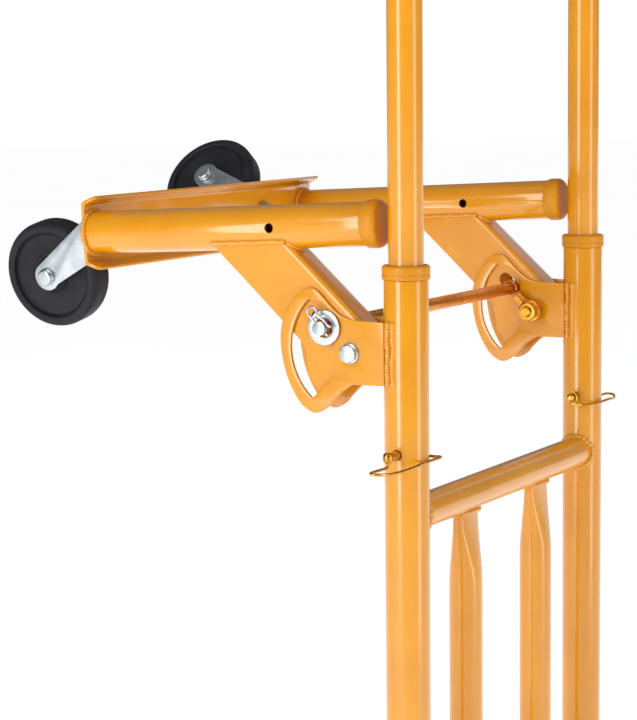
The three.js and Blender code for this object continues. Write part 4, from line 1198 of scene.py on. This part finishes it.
floor_bm = revolve([(0, -0.5), (30000, -0.5), (30000, -20), (0, -20)], 96)
bmesh.ops.scale(floor_bm, vec=(MM, MM, MM), verts=floor_bm.verts)
floor = linked("floor", as_mesh(floor_bm, "floor"))
floor.data.materials.append(floor_material())
floor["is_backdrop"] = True

world = bpy.data.worlds.new("studio")
bpy.context.scene.world = world
world.use_nodes = True
SKY_SEEN, SKY_LIGHT = 1.02, 0.20
background = world.node_tree.nodes["Background"]
background.inputs["Color"].default_value = (1.0, 1.0, 1.0, 1.0)
rays = world.node_tree.nodes.new("ShaderNodeLightPath")
strength = world.node_tree.nodes.new("ShaderNodeMapRange")
strength.inputs["To Min"].default_value = SKY_LIGHT
strength.inputs["To Max"].default_value = SKY_SEEN
world.node_tree.links.new(rays.outputs["Is Camera Ray"], strength.inputs["Value"])
world.node_tree.links.new(strength.outputs["Result"], background.inputs["Strength"])


def soft_light(name, at, wide, high, watts):
    """Upright rectangular soft box that looks at the middle of the object."""
    data = bpy.data.lights.new(name, "AREA")
    data.shape = "RECTANGLE"
    data.size = wide
    data.size_y = high
    data.energy = watts
    lamp = linked(name, data)
    lamp.location = at
    lamp.rotation_mode = "QUATERNION"
    lamp.rotation_quaternion = (middle - at).normalized().to_track_quat("-Z", "Y")


# The camera: its place in metres, its turn from the X axis, its dip, its roll and its lens
CAMERA_AT = (-1.8652, -0.8522, 0.9823)
YAW, PITCH, ROLL = math.radians(29.233), math.radians(7.2355), math.radians(-0.618)
LENS, SENSOR_WIDTH = 112.77, 36.0
middle = Vector((0.0, 0.12, 0.786))


def around(degrees, distance, height):
    """A point beside the object, degrees round to the camera's right from straight behind the camera."""
    a = YAW + math.pi + math.radians(degrees)
    return middle + Vector((math.cos(a) * distance, math.sin(a) * distance, height - middle.z))


soft_light("strip_left", around(-40, 2.6, 1.4), 0.80, 2.8, 46)
soft_light("strip_right", around(58, 2.4, 1.3), 0.75, 2.8, 22)
soft_light("overhead", middle + Vector((-0.6, -0.4, 2.6)), 2.2, 2.2, 11)
soft_light("back_fill", around(150, 3.0, 1.6), 1.6, 2.0, 5)

view_dir = Vector((math.cos(PITCH) * math.cos(YAW), math.cos(PITCH) * math.sin(YAW), -math.sin(PITCH)))
level_right = Vector((math.sin(YAW), -math.cos(YAW), 0.0))
level_up = level_right.cross(view_dir)
right_axis = level_right * math.cos(ROLL) + level_up * math.sin(ROLL)
up_axis = level_up * math.cos(ROLL) - level_right * math.sin(ROLL)
camera_data = bpy.data.cameras.new("camera")
camera_data.sensor_width = SENSOR_WIDTH
camera_data.lens = LENS
camera = linked("camera", camera_data)
rows = [(right_axis[i], up_axis[i], -view_dir[i], CAMERA_AT[i]) for i in range(3)]
camera.matrix_world = Matrix(rows + [(0, 0, 0, 1)])
bpy.context.scene.camera = camera
bpy.context.scene.view_settings.view_transform = "Standard"

low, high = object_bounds()
